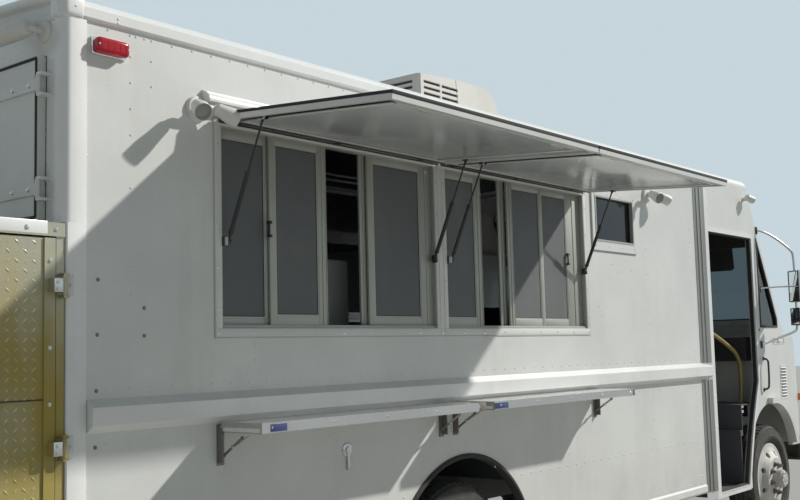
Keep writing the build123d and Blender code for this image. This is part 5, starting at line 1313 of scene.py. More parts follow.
# A truck tyre: sidewalls with mould rings, three ribs and two rows of shoulder blocks
def makeTyre(bm, place):
    half, bead, top = tyre["half"], tyre["bead"], tyre["top"]
    base = top - tyre["groove"]
    carcass = [(bead, -0.077), (bead + 0.014, -0.077), (0.285, -0.096), (0.312, half * -0.985),
               (0.318, half * -1.0),
               (0.322, half * -0.985), (0.345, half * -0.985), (0.372, -0.0995), (0.3725, -0.1015),
               (0.378, -0.1005),
               (base, -0.080), (base, 0.080), (0.378, 0.1005), (0.3725, 0.1015), (0.372, 0.0995),
               (0.345, half * 0.985), (0.322, half * 0.985), (0.318, half), (0.312, half * 0.985),
               (0.285, 0.096), (bead + 0.014, 0.077), (bead, 0.077)]
    addSpun(bm, carcass, place, (0, 1, 0), 72)
    for middle in (-0.036, 0.0, 0.036):
        addSpun(bm, [(base - 0.002, middle - 0.0125), (top - 0.001, middle - 0.0115), (top, middle - 0.009),
                     (top, middle + 0.009), (top - 0.001, middle + 0.0115), (base - 0.002, middle + 0.0125)],
                place, (0, 1, 0), 72)
    centre = at(*place)
    for step in range(tyre["lugs"]):
        turn = Matrix.Rotation(2 * math.pi * step / tyre["lugs"], 4, "Y")
        for side in (-1, 1):
            size = Matrix.Diagonal((0.033, 0.026, 0.022, 1))
            lift = Matrix.Translation((0, side * 0.0680, top - 0.0122))
            block = Matrix.Translation(centre) @ turn @ lift @ size
            verts = bmesh.ops.create_cube(bm, size=1, matrix=block)["verts"]
            outer = [v for v in verts if (v.co - centre).dot(Vector((0, side, 0))) > 0.07
                     and math.hypot(v.co.x - centre.x, v.co.z - centre.z) > top - 0.006]
            for vert in outer:
                vert.co.y += side * 0.006
                radial = Vector((vert.co.x - centre.x, 0, vert.co.z - centre.z)).normalized()
                vert.co -= radial * 0.0065


def makeTyres():
    for side, name in ((-1, "right"), (1, "left")):
        bm = bmesh.new()
        makeTyre(bm, (frontAxleAlong, side * tyre["front"], axleUp))
        finishPiece(bm, f"front_tyre_{name}", "tyreRubber", f"front_wheel_{name}", smooth=28,
                    replaces=(f"tyre_front_{name}",))
        bm = bmesh.new()
        for across in tyre["rear"]:
            makeTyre(bm, (rearAxleAlong, side * across, axleUp))
        finishPiece(bm, f"rear_tyres_{name}", "tyreRubber", f"rear_wheels_{name}", smooth=28,
                    replaces=(f"tyres_rear_{name}",))


# Across of the nuts' seat, the hub's cap and the outer rim's middle, at the front and at the rear
hub = {"studCircle": 0.108, "studs": 8, "capCircle": 0.044, "capBolts": 8, "front": (1.184, 1.254, 1.052),
       "rear": (0.886, 1.014, 1.004)}


# Wheel nuts on their studs, cap bolts and discs, and the valve stems
def makeWheelParts():
    for side, name in ((-1, "right"), (1, "left")):
        facing = Vector((0, side, 0))
        for axleAlong, (seatAt, capAt, rimAt), body in (
                (frontAxleAlong, hub["front"], f"front_wheel_{name}"),
                (rearAxleAlong, hub["rear"], f"rear_wheels_{name}")):
            nuts, studs, chromed = bmesh.new(), bmesh.new(), bmesh.new()
            for step in range(hub["studs"]):
                angle = 2 * math.pi * (step + 0.25) / hub["studs"]
                place = (axleAlong + hub["studCircle"] * math.cos(angle), side * seatAt,
                         axleUp + hub["studCircle"] * math.sin(angle))
                addBolt(nuts, place, facing, 0.0165, 0.020)
                tip = (place[0], place[1] + side * 0.034, place[2])
                addRod(studs, (place[0], place[1] + side * 0.018, place[2]), tip, 0.0085, 0.0078, 12, 0.001)
            capAcross, circle = side * capAt, hub["capCircle"]
            for step in range(hub["capBolts"]):
                angle = 2 * math.pi * (step + 0.5) / hub["capBolts"]
                spot = (axleAlong + circle * math.cos(angle), capAcross, axleUp + circle * math.sin(angle))
                addBolt(chromed, spot, facing, 0.0055, 0.004)
            addSpun(chromed, [(0, -0.0005), (0.030, -0.0005), (0.027, 0.004), (0.012, 0.007), (0, 0.0075)],
                    (axleAlong, capAcross, axleUp), facing, 32)
            # valve stem through a hand hole
            addTube(chromed, [(axleAlong + 0.205, side * (rimAt + 0.070), axleUp + 0.045),
                              (axleAlong + 0.196, side * (rimAt + 0.092), axleUp + 0.042),
                              (axleAlong + 0.182, side * (rimAt + 0.108), axleUp + 0.040)], 0.004)
            finishPiece(nuts, f"{body}_nuts", "bracketSteel", body)
            finishPiece(studs, f"{body}_studs", "bracketSteel", body)
            finishPiece(chromed, f"{body}_cap", "chrome", body)


makeArchTrims()
makeTyres()
makeWheelParts()
print("wheels ready")

# Cab doorways, glass and mirrors
doorway = {"rear": 5.122, "front": 5.971, "lowFront": 5.690, "sill": 0.411, "head": 2.232,
           "sweep": (5.815, 0.800), "sweepTop": 1.150, "trim": 0.034}
windscreen = {"top": (5.945, 2.570), "foot": (6.500, 1.585), "low": 1.620, "high": 2.385,
              "panes": ((0.060, 1.080), (-1.080, -0.060))}
quarter = [(6.085, 2.215), (6.085, 1.560), (6.423, 1.560), (6.423, 1.615)]


# The doorway's outline with its swept corner, as places on one side
def doorwayOutline(across):
    start = Vector((doorway["lowFront"], doorway["sill"]))
    middle = Vector(doorway["sweep"])
    end = Vector((doorway["front"], doorway["sweepTop"]))
    control = middle * 2 - (start + end) / 2
    sweep = []
    for step in range(13):
        t = step / 12
        sweep.append((1 - t) ** 2 * start + 2 * t * (1 - t) * control + t * t * end)
    points = [(doorway["rear"], doorway["sill"])] + [tuple(point) for point in sweep]
    points += [(doorway["front"], doorway["head"]), (doorway["rear"], doorway["head"])]
    return [(along, across, up) for along, up in points]


# A point on the raked windscreen plane, so far in front of it
def rakedPoint(across, up, proud):
    (topAlong, topUp), (footAlong, footUp) = windscreen["top"], windscreen["foot"]
    share = (topUp - up) / (topUp - footUp)
    slope = Vector((topUp - footUp, 0, footAlong - topAlong)).normalized()
    return (topAlong + share * (footAlong - topAlong) + slope.x * proud, across, up + slope.z * proud)


def makeCabTrims():
    trim, seal = bmesh.new(), bmesh.new()
    outline = doorwayOutline(curb(0))
    addFrame(trim, outline, doorway["trim"], 0.0, -0.0005, 0.004)
    addFrame(trim, outline, 0.004, -0.003, -0.040, 0.007)
    addFrame(seal, outline, -0.002, -0.014, -0.030, -0.004)
    finishPiece(trim, "doorway_trims", "brightPaint", bothSides=True)
    glassSeal = [(along, curb(0), up) for along, up in quarter]
    addFrame(seal, glassSeal, 0.009, -0.008, -0.020, 0.005)
    low, high = windscreen["panes"][0]
    corners = [rakedPoint(low, windscreen["low"], 0), rakedPoint(high, windscreen["low"], 0),
               rakedPoint(high, windscreen["high"], 0), rakedPoint(low, windscreen["high"], 0)]
    addFrame(seal, corners, 0.018, -0.012, -0.010, 0.006)
    finishPiece(seal, "cab_seals", "rubber", bothSides=True)


# Windscreen panes on their rake and the quarter windows beside them
def makeCabGlass():
    bm = bmesh.new()
    for low, high in windscreen["panes"]:
        low, high = low - 0.004, high + 0.004
        foot, top = windscreen["low"] - 0.004, windscreen["high"] + 0.004
        corners = [rakedPoint(low, foot, -0.021), rakedPoint(high, foot, -0.021),
                   rakedPoint(high, top, -0.021), rakedPoint(low, top, -0.021)]
        lift = at(*rakedPoint(0, 2, 0.006)) - at(*rakedPoint(0, 2, 0))
        addSlab(bm, corners, lift)
    for side in (-1, 1):
        addSlab(bm, [(along, side * (halfWidth - 0.018), up) for along, up in quarter], (0, side * 0.006, 0))
    finishPiece(bm, "cab_glass", "darkGlass", replaces=("window_glass",))


def makeMirrors():
    arms, clamps = bmesh.new(), bmesh.new()
    out = 0.190
    arm = [(6.100, curb(0.006), 2.300), (6.150, curb(0.060), 2.290), (6.330, curb(0.180), 2.150),
           (6.350, curb(out), 2.100), (6.350, curb(out), 1.800), (6.350, curb(out), 1.560),
           (6.345, curb(0.180), 1.516), (6.250, curb(0.100), 1.480), (6.080, curb(0.006), 1.420)]
    addTube(arms, arm, 0.009)
    addTube(arms, [(6.118, curb(0.004), 1.85), (6.16, curb(0.06), 1.86), (6.34, curb(0.184), 1.865),
                   (6.350, curb(out), 1.865)], 0.006)
    for along, up in ((6.100, 2.300), (6.080, 1.420), (6.118, 1.85)):
        addBlock(clamps, (along - 0.020, curb(0), up - 0.028), (along + 0.020, curb(0.005), up + 0.028),
                 0.002)
        for shift in (-0.018, 0.018):
            addBolt(clamps, (along, curb(0.005), up + shift), curbFacing, 0.005, 0.003)
    turned = [bmesh.new() for _ in range(3)]
    shells, faces, rims = turned
    for low, high, wide in ((1.740, 1.990, 0.066), (1.560, 1.700, 0.058)):
        near, far = curb(out - wide), curb(out + wide)
        addBlock(shells, (6.336, far, low), (6.374, near, high), 0.014, 4)
        addBlock(faces, (6.3335, far + 0.009, low + 0.010), (6.3365, near - 0.009, high - 0.010), 0.001)
        addFrame(rims, [(6.336, far + 0.008, low + 0.009), (6.336, near - 0.008, low + 0.009),
                        (6.336, near - 0.008, high - 0.009), (6.336, far + 0.008, high - 0.009)],
                 0.004, -0.003, -0.004, 0.001)
        middle = (low + high) / 2
        for up in (middle - 0.045, middle + 0.045):
            addBlock(rims, (6.340, curb(out) - 0.016, up - 0.011), (6.364, curb(out) + 0.016, up + 0.011),
                     0.003)
    for bm in turned:
        bmesh.ops.rotate(bm, cent=at(6.350, curb(out), 0), matrix=Matrix.Rotation(math.radians(-35), 3, "Z"),
                         verts=bm.verts[:])
    finishPiece(arms, "mirror_arms", "stainless", bothSides=True, replaces=("mirrors",))
    finishPiece(shells, "mirror_shells", "stainless", bothSides=True)
    finishPiece(faces, "mirror_faces", "mirrorGlass", bothSides=True)
    finishPiece(rims, "mirror_rims", "blackSteel", bothSides=True)
    finishPiece(clamps, "mirror_clamps", "blackSteel", bothSides=True)


louvres = {"box": (6.457, 6.563, 1.005, 1.242), "count": 10}
cornerLamp = {"place": (5.868, 0.052, 2.520), "way": (0.93, -0.25, -0.25)}


# Handles, hood latches, fender louvres, the small lamps and the reflectors of the cab
def makeCabDetails():
    # black upright handle behind the quarter glass
    bm = bmesh.new()
    addTube(bm, [(6.104, curb(0.002), 1.315), (6.103, curb(0.034), 1.310), (6.096, curb(0.040), 1.27),
                 (6.088, curb(0.040), 1.12), (6.087, curb(0.034), 1.085), (6.086, curb(0.002), 1.080)],
            0.0075)
    for along, up in ((6.104, 1.315), (6.086, 1.080)):
        addSpun(bm, [(0, 0), (0.016, 0), (0.016, 0.003), (0.010, 0.006), (0, 0.006)], (along, curb(0), up),
                curbFacing, 24)
    finishPiece(bm, "cab_handles", "blackSteel", bothSides=True)
    bm = bmesh.new()
    addFrame(bm, rectangle(6.329, 6.560, 1.426, 1.468, curb(0)), 0.004, 0.0, -0.0005, 0.003)
    addBlock(bm, (6.335, curb(-0.0005), 1.432), (6.554, curb(0.0016), 1.462), 0.001)
    addBlock(bm, (6.420, curb(0.001), 1.436), (6.470, curb(0.008), 1.458), 0.003)
    finishPiece(bm, "hood_latches", "whitePaint", bothSides=True)
    # frame and slats of the fender louvres
    rear, front, foot, top = louvres["box"]
    count = louvres["count"]
    bm = bmesh.new()
    addFrame(bm, rectangle(rear, front, foot, top, curb(0)), 0.014, 0.0, -0.0005, 0.003)
    pitch = (top - foot) / count
    for step in range(count):
        low = foot + pitch * (step + 0.8)
        addSlab(bm, [(rear, curb(-0.001), low + 0.004), (rear, curb(0.010), low - 0.006),
                     (rear, curb(0.010), low - 0.0075), (rear, curb(-0.001), low)], (front - rear, 0, 0))
    finishPiece(bm, "fender_louvres", "brightPaint", bothSides=True)
    # dark blocks flush in the slots between the slats: painted shade for the depth of the louvres
    bm = bmesh.new()
    for step in range(count):
        low = foot + pitch * step
        addBlock(bm, (rear + 0.002, curb(-0.001), low + 0.003), (front - 0.002, curb(0.0022), low + 0.011),
                 0.0005)
    finishPiece(bm, "louvre_slot_shade", "darkPlastic", bothSides=True)
    bm = bmesh.new()
    addBlock(bm, (6.812, curb(-0.002), 0.962), (6.886, curb(0.016), 1.022), 0.006, 3)
    finishPiece(bm, "fender_lamps", "amberLens", bothSides=True)
    bm = bmesh.new()
    addSpun(bm, [(0, 0), (0.011, 0), (0.011, 0.003), (0.008, 0.005), (0, 0.005)], (6.055, curb(0), 1.535),
            curbFacing, 20)
    finishPiece(bm, "cab_reflectors", "amberLens", bothSides=True)
    # a small lamp on a bracket at the front corner of the cab's roof
    along, out, up = cornerLamp["place"]
    bm = bmesh.new()
    addRod(bm, (along, curb(0), up), (along, curb(0.034), up), 0.014, sides=20, soften=0.002)
    addSpun(bm, [(0, -0.040), (0.014, -0.040), (0.022, -0.032), (0.026, 0.0), (0.028, 0.036), (0.024, 0.036),
                 (0.021, 0.026), (0, 0.022)], (along, curb(out), up), cornerLamp["way"], 28)
    finishPiece(bm, "corner_lamps", "whitePlastic", bothSides=True)
    bm = bmesh.new()
    addSpun(bm, [(0, 0.026), (0.0225, 0.026), (0.0225, 0.029), (0.012, 0.032), (0, 0.033)],
            (along, curb(out), up), cornerLamp["way"], 28)
    finishPiece(bm, "corner_lamp_glass", "clearLens", bothSides=True)


# Arms from a pivot under the glass to a blade of two layers
def makeWipers():
    arms, blades = bmesh.new(), bmesh.new()
    for side in (-1, 1):
        foot = rakedPoint(side * 0.30, 1.590, 0.012)
        tip = rakedPoint(side * 0.62, 1.93, 0.026)
        addRod(arms, rakedPoint(side * 0.30, 1.590, -0.004), rakedPoint(side * 0.30, 1.590, 0.020), 0.014,
               sides=20, soften=0.002)
        bend = [rakedPoint(side * across, up, 0.030) for across, up in ((0.33, 1.63), (0.50, 1.80))]
        addTube(arms, [foot, *bend, tip], 0.0045)
        for near, low, far, high, proud, radius in ((0.52, 1.70, 0.70, 2.14, 0.010, 0.0035),
                                                    (0.53, 1.73, 0.69, 2.11, 0.018, 0.0045)):
            addRod(blades, rakedPoint(side * near, low, proud), rakedPoint(side * far, high, proud), radius,
                   sides=10)
    finishPiece(arms, "wiper_arms", "blackSteel")
    finishPiece(blades, "wiper_blades", "rubber")


grabRail = {"path": [(5.060, -1.030, 1.600), (5.200, -1.045, 1.570), (5.405, -1.050, 1.525),
                     (5.700, -1.050, 1.430),
                     (5.860, -1.048, 1.372), (5.950, -1.045, 1.290), (5.952, -1.045, 1.200),
                     (5.950, -1.045, 1.080),
                     (5.930, -1.045, 0.986)], "radius": 0.015}


# The bent entry rail and its stanchion, the sun visor and the dashboard's small parts
def makeCabInside():
    bm = bmesh.new()
    addTube(bm, grabRail["path"], grabRail["radius"])
    addRod(bm, (5.060, -1.030, 0.800), (5.060, -1.030, 2.640), 0.016, sides=20)
    addSpun(bm, [(0, 0), (0.036, 0), (0.036, 0.004), (0.018, 0.008), (0, 0.008)], (5.060, -1.030, 0.800),
            upFacing, 28)
    addSpun(bm, [(0, 0), (0.032, 0), (0.032, 0.004), (0.017, 0.008), (0, 0.008)], (5.930, -1.045, 0.985),
            upFacing, 28)
    finishPiece(bm, "entry_rail", "yellowPaint")
    bm = bmesh.new()
    addSlab(bm, [(6.106, -0.975, 2.020), (6.106, -0.955, 2.004), (6.106, -0.47, 2.004), (6.106, -0.45, 2.020),
                 (6.082, -0.45, 2.165), (6.082, -0.975, 2.165)], (0.016, 0, 0.002))
    addRod(bm, (6.094, -0.975, 2.168), (6.094, -0.45, 2.168), 0.007, sides=12)
    finishPiece(bm, "sun_visor", "darkPlastic")
    bm = bmesh.new()
    for across in (0.54, 0.64, 0.74):
        addSpun(bm, [(0, 0), (0.036, 0), (0.040, 0.006), (0.036, 0.010), (0.033, 0.006), (0, 0.006)],
                (5.988, across, 1.430), rearFacing, 28)
    for across, low in ((0.55, 0.86), (0.66, 0.86)):
        addBlock(bm, (5.900, across - 0.035, low), (5.925, across + 0.035, low + 0.10), 0.004)
        addRod(bm, (5.915, across, low + 0.05), (6.05, across, low + 0.16), 0.007, sides=12)
    finishPiece(bm, "dash_gauges", "blackSteel")


makeCabTrims()
makeCabGlass()
makeMirrors()
makeCabDetails()
makeWipers()
makeCabInside()
print("cab ready")

# Roof pieces
cooler = {"rear": 2.925, "front": 3.785, "side": 0.380, "screws": (3.00, 3.28, 3.62), "screwUp": 2.735}
roofLamps = {"along": 5.55, "across": (-0.36, -0.18, 0.0, 0.18, 0.36)}


def makeRoofParts():
    bm = bmesh.new()
    for side in (-1, 1):
        for along in cooler["screws"]:
            addBolt(bm, (along, side * cooler["side"], cooler["screwUp"]), (0, side, 0), 0.006, 0.004)
    for along in (3.05, 3.25, 3.45):
        for across in (-0.30, 0.30):
            addRivet(bm, (along, across, 3.119 if along > 3.3 else 3.094 + (along - 2.925) * 0.064), upFacing,
                     (0.008, 0.005, 0.003))
    finishPiece(bm, "cooler_screws", "stainless")
    bm = bmesh.new()
    base = [(cooler["rear"] - 0.012, -0.395), (cooler["front"] + 0.012, -0.395),
            (cooler["front"] + 0.012, 0.395), (cooler["rear"] - 0.012, 0.395)]
    addFrame(bm, [(along, across, 2.700) for along, across in base], 0.004, -0.02, -0.010, 0.014)
    finishPiece(bm, "cooler_gasket", "rubber")
    bm = bmesh.new()
    along = roofLamps["along"]
    for across in roofLamps["across"]:
        up = roofHeight(across)
        addBlock(bm, (along - 0.045, across - 0.028, up - 0.002),
                 (along + 0.045, across + 0.028, up + 0.008), 0.003)
    finishPiece(bm, "roof_lamp_bases", "darkPlastic")
    bm = bmesh.new()
    for across in roofLamps["across"]:
        addBall(bm, (along + 0.01, across, roofHeight(across) + 0.008), 0.028, (1.3, 0.75, 0.85), 20)
    finishPiece(bm, "roof_lamp_lenses", "amberLens")


makeRoofParts()
print("roof ready")

# Rear end: roof cap, door locks and bumper parts
roofEnd = {"railRadius": 0.020, "plateIn": 0.012, "steps": 28, "postProud": 0.008, "postRadius": 0.027,
           "postLong": 0.078}


# The plate that closes the crowned roof over the rear header, its rolled rail and corner castings
def makeRoofEnd():
    bm = bmesh.new()
    wide = halfWidth - 0.078
    rows = [(-wide + 2 * wide * step / roofEnd["steps"]) for step in range(roofEnd["steps"] + 1)]
    outline = [(0.004, across, roofHeight(across) - 0.006) for across in rows]
    outline += [(0.004, wide + 0.050, 2.640), (0.004, wide + 0.054, 2.586), (0.004, -wide - 0.054, 2.586),
                (0.004, -wide - 0.050, 2.640)]
    addSlab(bm, outline, (roofEnd["plateIn"], 0, 0))
    # a flanged hem along the plate's foot
    addBlock(bm, (-0.004, -1.10, 2.586), (0.006, 1.10, 2.604), 0.0015)
    finishPiece(bm, "roof_end_plate", "whitePaint")
    bm = bmesh.new()
    path = [(0.0, -1.155, 2.585), (0.0, -1.152, 2.625), (0.0, -1.125, 2.655), (0.0, -1.08, 2.668)]
    path += [(0.0, across, roofHeight(across) - 0.008) for across in [step * 0.2 for step in range(-5, 6)]]
    path += [(0.0, -across, up) for _, across, up in reversed(path[:4])]
    addTube(bm, path, roofEnd["railRadius"])
    for side in (-1, 1):
        # corner casting over the post and the roof rail's end
        addBlock(bm, (-0.016, side * 1.090, 2.580), (0.074, side * (halfWidth + 0.0165), 2.664), 0.022, 5)
    finishPiece(bm, "roof_end_rail", "brightPaint")
    bm = bmesh.new()
    for side in (-1, 1):
        addRivet(bm, (0.030, side * (halfWidth + 0.0165), 2.622), (0, side, 0))
    rivetLine(bm, (-0.004, -1.06, 2.595), (-0.004, 1.06, 2.595), 0.093, rearFacing)
    finishPiece(bm, "roof_end_rivets", "brightPaint")


# Rounded corner posts: the curb and driver corners of the body, from skirt to roof
def makeCornerPosts():
    proud, radius, long = roofEnd["postProud"], roofEnd["postRadius"], roofEnd["postLong"]
    bm = bmesh.new()
    centre = (radius - proud, halfWidth + proud - radius)
    for foot, top, back in ((1.8895, 2.585, 0.052), (0.450, 1.8895, 0.0)):
        curve = [(centre[0] - radius * math.sin(turn), centre[1] + radius * math.cos(turn))
                 for turn in (math.radians(step) for step in range(0, 91, 9))]
        if back:
            outline = [(long, halfWidth - 0.001), (long, halfWidth + proud - 0.002),
                       (long - 0.004, halfWidth + proud)] + curve
            outline += [(-proud, halfWidth - back), (-proud + 0.003, halfWidth - back - 0.003),
                        (0.0005, halfWidth - back - 0.003)]
        else:
            outline = [(long, halfWidth - 0.001), (long, halfWidth + proud - 0.002),
                       (long - 0.004, halfWidth + proud),
                       (0.006, halfWidth + proud), (0.002, halfWidth + proud - 0.003),
                       (0.002, halfWidth - 0.001)]
        addSlab(bm, [(along, -across, foot) for along, across in outline], (0, 0, top - foot))
    finishPiece(bm, "corner_posts", "brightPaint", bothSides=True)
    bm = bmesh.new()
    # dark ribbed strip on the slope of the doorway's rear post; its dark grey is a painted shade
    for foot, top in ((0.444, 1.194), (1.310, 2.572)):
        addSlab(bm, [(4.950, curb(0.0012), foot), (5.063, curb(0.0300), foot), (5.063, curb(0.0312), foot),
                     (4.950, curb(0.0026), foot)],
                (0, 0, top - foot))
        for share in (0.30, 0.62):
            along, out = 4.950 + 0.113 * share, 0.0026 + 0.0286 * share
            addBlock(bm, (along - 0.004, curb(out - 0.002), foot), (along + 0.004, curb(out + 0.003), top),
                     0.001)
    finishPiece(bm, "post_shade_strips", "shadeGreyMetal", bothSides=True)


rearDoor = {"rod": 0.085, "rodRadius": 0.0085, "face": -0.030, "hinges": (2.010, 2.365), "low": 1.909,
            "high": 2.466, "guides": (1.935, 2.120, 2.250, 2.440), "lever": 2.185, "hingeLine": 1.062,
            "strapBolts": (0.05, 0.15, 0.27, 0.39), "edges": (0.010, 1.046)}


# Cam rods and handles, strap bolts and rubber seals of the rear doors
def makeRearDoorParts():
    for side, name in ((-1, "right"), (1, "left")):
        body = f"rear_door_{name}"
        bm = bmesh.new()
        across, out = side * rearDoor["rod"], rearDoor["face"] - 0.014
        addRod(bm, (out, across, rearDoor["low"] + 0.004), (out, across, rearDoor["high"] - 0.004),
               rearDoor["rodRadius"], sides=20)
        for up in rearDoor["guides"]:
            addBlock(bm, (out - 0.011, across - 0.024, up - 0.014),
                     (rearDoor["face"] + 0.0005, across + 0.024, up + 0.014), 0.004)
            for shift in (-0.018, 0.018):
                addBolt(bm, (out - 0.009, across + shift, up), rearFacing, 0.004, 0.002)
        if side < 0:
            # lever, its hub and its keeper
            addSpun(bm, [(0.0085, -0.022), (0.016, -0.022), (0.017, 0.022), (0.0085, 0.022)],
                    (out, across, rearDoor["lever"]), upFacing, 24)
            addTube(bm, [(out - 0.010, across, rearDoor["lever"]), (out - 0.022, across - 0.03, 2.184),
                         (out - 0.024, across - 0.12, 2.180), (out - 0.020, across - 0.20, 2.178)], 0.007)
            addBlock(bm, (out - 0.026, across - 0.195, 2.158),
                     (rearDoor["face"] + 0.0005, across - 0.165, 2.172), 0.003)
        finishPiece(bm, f"rear_lock_{name}", "aluminium", body)
        bm = bmesh.new()
        for up in rearDoor["hinges"]:
            for reach in rearDoor["strapBolts"]:
                addBolt(bm, (-0.038, side * (rearDoor["hingeLine"] - reach), up), rearFacing, 0.006, 0.004)
        finishPiece(bm, f"rear_strap_bolts_{name}", "stainless", body)
        bm = bmesh.new()
        low, high = rearDoor["low"] + 0.008, rearDoor["high"] - 0.008
        near, far = (side * edge for edge in rearDoor["edges"])
        outline = [(rearDoor["face"], across, up)
                   for across, up in ((near, low), (far, low), (far, high), (near, high))]
        for start, end in zip(outline, outline[1:] + outline[:1]):
            addRod(bm, start, end, 0.0055, sides=10)
        finishPiece(bm, f"rear_seal_{name}", "rubber", body)


# Step treads, the blank plate, mud flaps with the hood over the plate, their bars and tow loops
def makeRearBumperParts():
    bm = bmesh.new()
    for start, end in ((-1.07, -0.52), (0.52, 1.07)):
        for row in range(4):
            low = -0.752 + row * 0.028
            addBlock(bm, (low, start, 0.469), (low + 0.012, end, 0.4735), 0.0015)
    finishPiece(bm, "bumper_treads", "rubber")
    bm = bmesh.new()
    addBlock(bm, (-0.616, -0.155, 0.66), (-0.6095, 0.155, 0.815), 0.004)
    addFrame(bm, [(-0.616, -0.152, 0.663), (-0.616, 0.152, 0.663), (-0.616, 0.152, 0.812),
                  (-0.616, -0.152, 0.812)],
             0.003, -0.006, -0.002, 0.0015)
    finishPiece(bm, "blank_plate", "brightPaint")
    bm = bmesh.new()
    addBlock(bm, (-0.640, -0.050, 0.822), (-0.6095, 0.050, 0.850), 0.007, 3)
    for side in (-1, 1):
        addSlab(bm, [(1.655, side * 1.12, 0.290), (1.655, side * 0.66, 0.290), (1.655, side * 0.66, 0.700),
                     (1.655, side * 1.12, 0.700)], (0.008, 0, 0))
        for rib in range(6):
            across = side * (0.70 + rib * 0.076)
            addBlock(bm, (1.652, across - 0.005, 0.31), (1.657, across + 0.005, 0.66), 0.001)
    finishPiece(bm, "mud_flaps", "rubber")
    bm = bmesh.new()
    for side in (-1, 1):
        addBlock(bm, (1.648, side * 0.64, 0.690), (1.672, side * 1.125, 0.722), 0.003)
        addTube(bm, [(-0.690, side * 0.30, 0.440), (-0.700, side * 0.30, 0.400), (-0.700, side * 0.30, 0.385),
                     (-0.665, side * 0.30, 0.370), (-0.640, side * 0.30, 0.385),
                     (-0.650, side * 0.30, 0.440)], 0.009)
    finishPiece(bm, "flap_bars", "blackSteel")


makeRoofEnd()
makeCornerPosts()
makeRearDoorParts()
makeRearBumperParts()
print("rear end ready")

# Driver's seat
seat = {"middle": (5.475, 0.640), "pedestal": (5.480, 0.640, 0.800),
        "cushion": (0.49, 0.48, 1.075, 1.205), "back": (0.105, 0.46, 0.64),
        "backPlace": (5.260, 0.640, 1.470),
        "lean": -10, "crown": 0.016, "pull": 0.014, "seam": 0.007}


# A crowned, stitched pad about the origin whose sides pull in between its corners
def padShape(bm, size, crownAxis):
    bmesh.ops.create_cube(bm, size=1)
    bmesh.ops.subdivide_edges(bm, edges=bm.edges[:], cuts=15, use_grid_fill=True)
    others = [axis for axis in range(3) if axis != crownAxis]
    for vert in bm.verts:
        u, v, w = (vert.co[axis] * 2 for axis in (*others, crownAxis))
        # soft edges: the pad thins towards its rim
        rim = max(abs(u), abs(v))
        thin = 1 - 0.34 * max(0.0, (rim - 0.8) / 0.2) ** 2
        crown = seat["crown"] * (1 - u * u) * (1 - v * v)
        seamLine = min(abs(abs(u) - 0.52), abs(abs(v) - 0.52) + (10 if abs(u) > 0.52 else 0))
        seam = seat["seam"] * math.exp(-(seamLine / 0.045) ** 2) * (1 if abs(w) > 0.9 else 0.15)
        local = [0.0, 0.0, 0.0]
        local[others[0]] = u / 2 * (size[others[0]] - 2 * seat["pull"] * (1 - v * v) * abs(u))
        local[others[1]] = v / 2 * (size[others[1]] - 2 * seat["pull"] * (1 - u * u) * abs(v))
        direction = 1 if w > 0 else -1
        half = size[crownAxis] / 2 - seat["crown"]
        local[crownAxis] = w * half * thin + direction * abs(w) * (crown - seam)
        vert.co = local
    for _ in range(3):
        bmesh.ops.smooth_vert(bm, verts=bm.verts[:], factor=0.5, use_axis_x=True, use_axis_y=True,
                              use_axis_z=True)


def makeSeat():
    alongMid, acrossMid = seat["middle"]
    long, wide, low, high = seat["cushion"]
    bm = bmesh.new()
    padShape(bm, (long, wide, high - low), 2)
    bmesh.ops.translate(bm, vec=at(alongMid, acrossMid, (low + high) / 2), verts=bm.verts[:])
    cushion = finishPiece(bm, "seat_cushion", "seatCloth", smooth=60, replaces=("seat",))
    bm = bmesh.new()
    padShape(bm, seat["back"], 0)
    bmesh.ops.rotate(bm, cent=(0, 0, 0), matrix=Matrix.Rotation(math.radians(seat["lean"]), 3, "Y"),
                     verts=bm.verts[:])
    bmesh.ops.translate(bm, vec=at(*seat["backPlace"]), verts=bm.verts[:])
    back = finishPiece(bm, "seat_back", "seatCloth", smooth=60)
    for pad in (cushion, back):
        soften = pad.modifiers.new("softer", "SUBSURF")
        soften.levels = soften.render_levels = 1
    bm = bmesh.new()
    addSpun(bm, [(0, 0), (0.088, 0), (0.088, 0.010), (0.050, 0.030), (0.048, 0.20), (0.080, 0.255),
                 (0.088, 0.262), (0.088, 0.276), (0, 0.276)],
            seat["pedestal"], upFacing, 40)
    addBlock(bm, (5.262, 0.440, 1.060), (5.690, 0.840, 1.078), 0.005)
    for across in (0.425, 0.855):
        addBlock(bm, (5.235, across - 0.008, 1.060), (5.290, across + 0.008, 1.300), 0.003)
    addRod(bm, (5.66, 0.56, 1.052), (5.66, 0.72, 1.052), 0.007, sides=12)
    finishPiece(bm, "seat_pedestal", "blackSteel")


makeSeat()
print("seat ready")

# Kitchen things seen through the serving windows
kitchen = {"fridge": ((1.02, -1.00, 0.802), (1.575, -0.50, 1.855)), "lining": (0.045, 4.90, 0.830, 2.560),
           "joints": (1.26, 2.48, 3.70), "lamps": (1.50, 3.00), "pipes": ((0.30, 2.560), (0.38, 2.545)),
           "clips": (0.6, 1.5, 2.4, 3.3, 4.2), "ceiling": (0.10, 1.70, 3.30)}


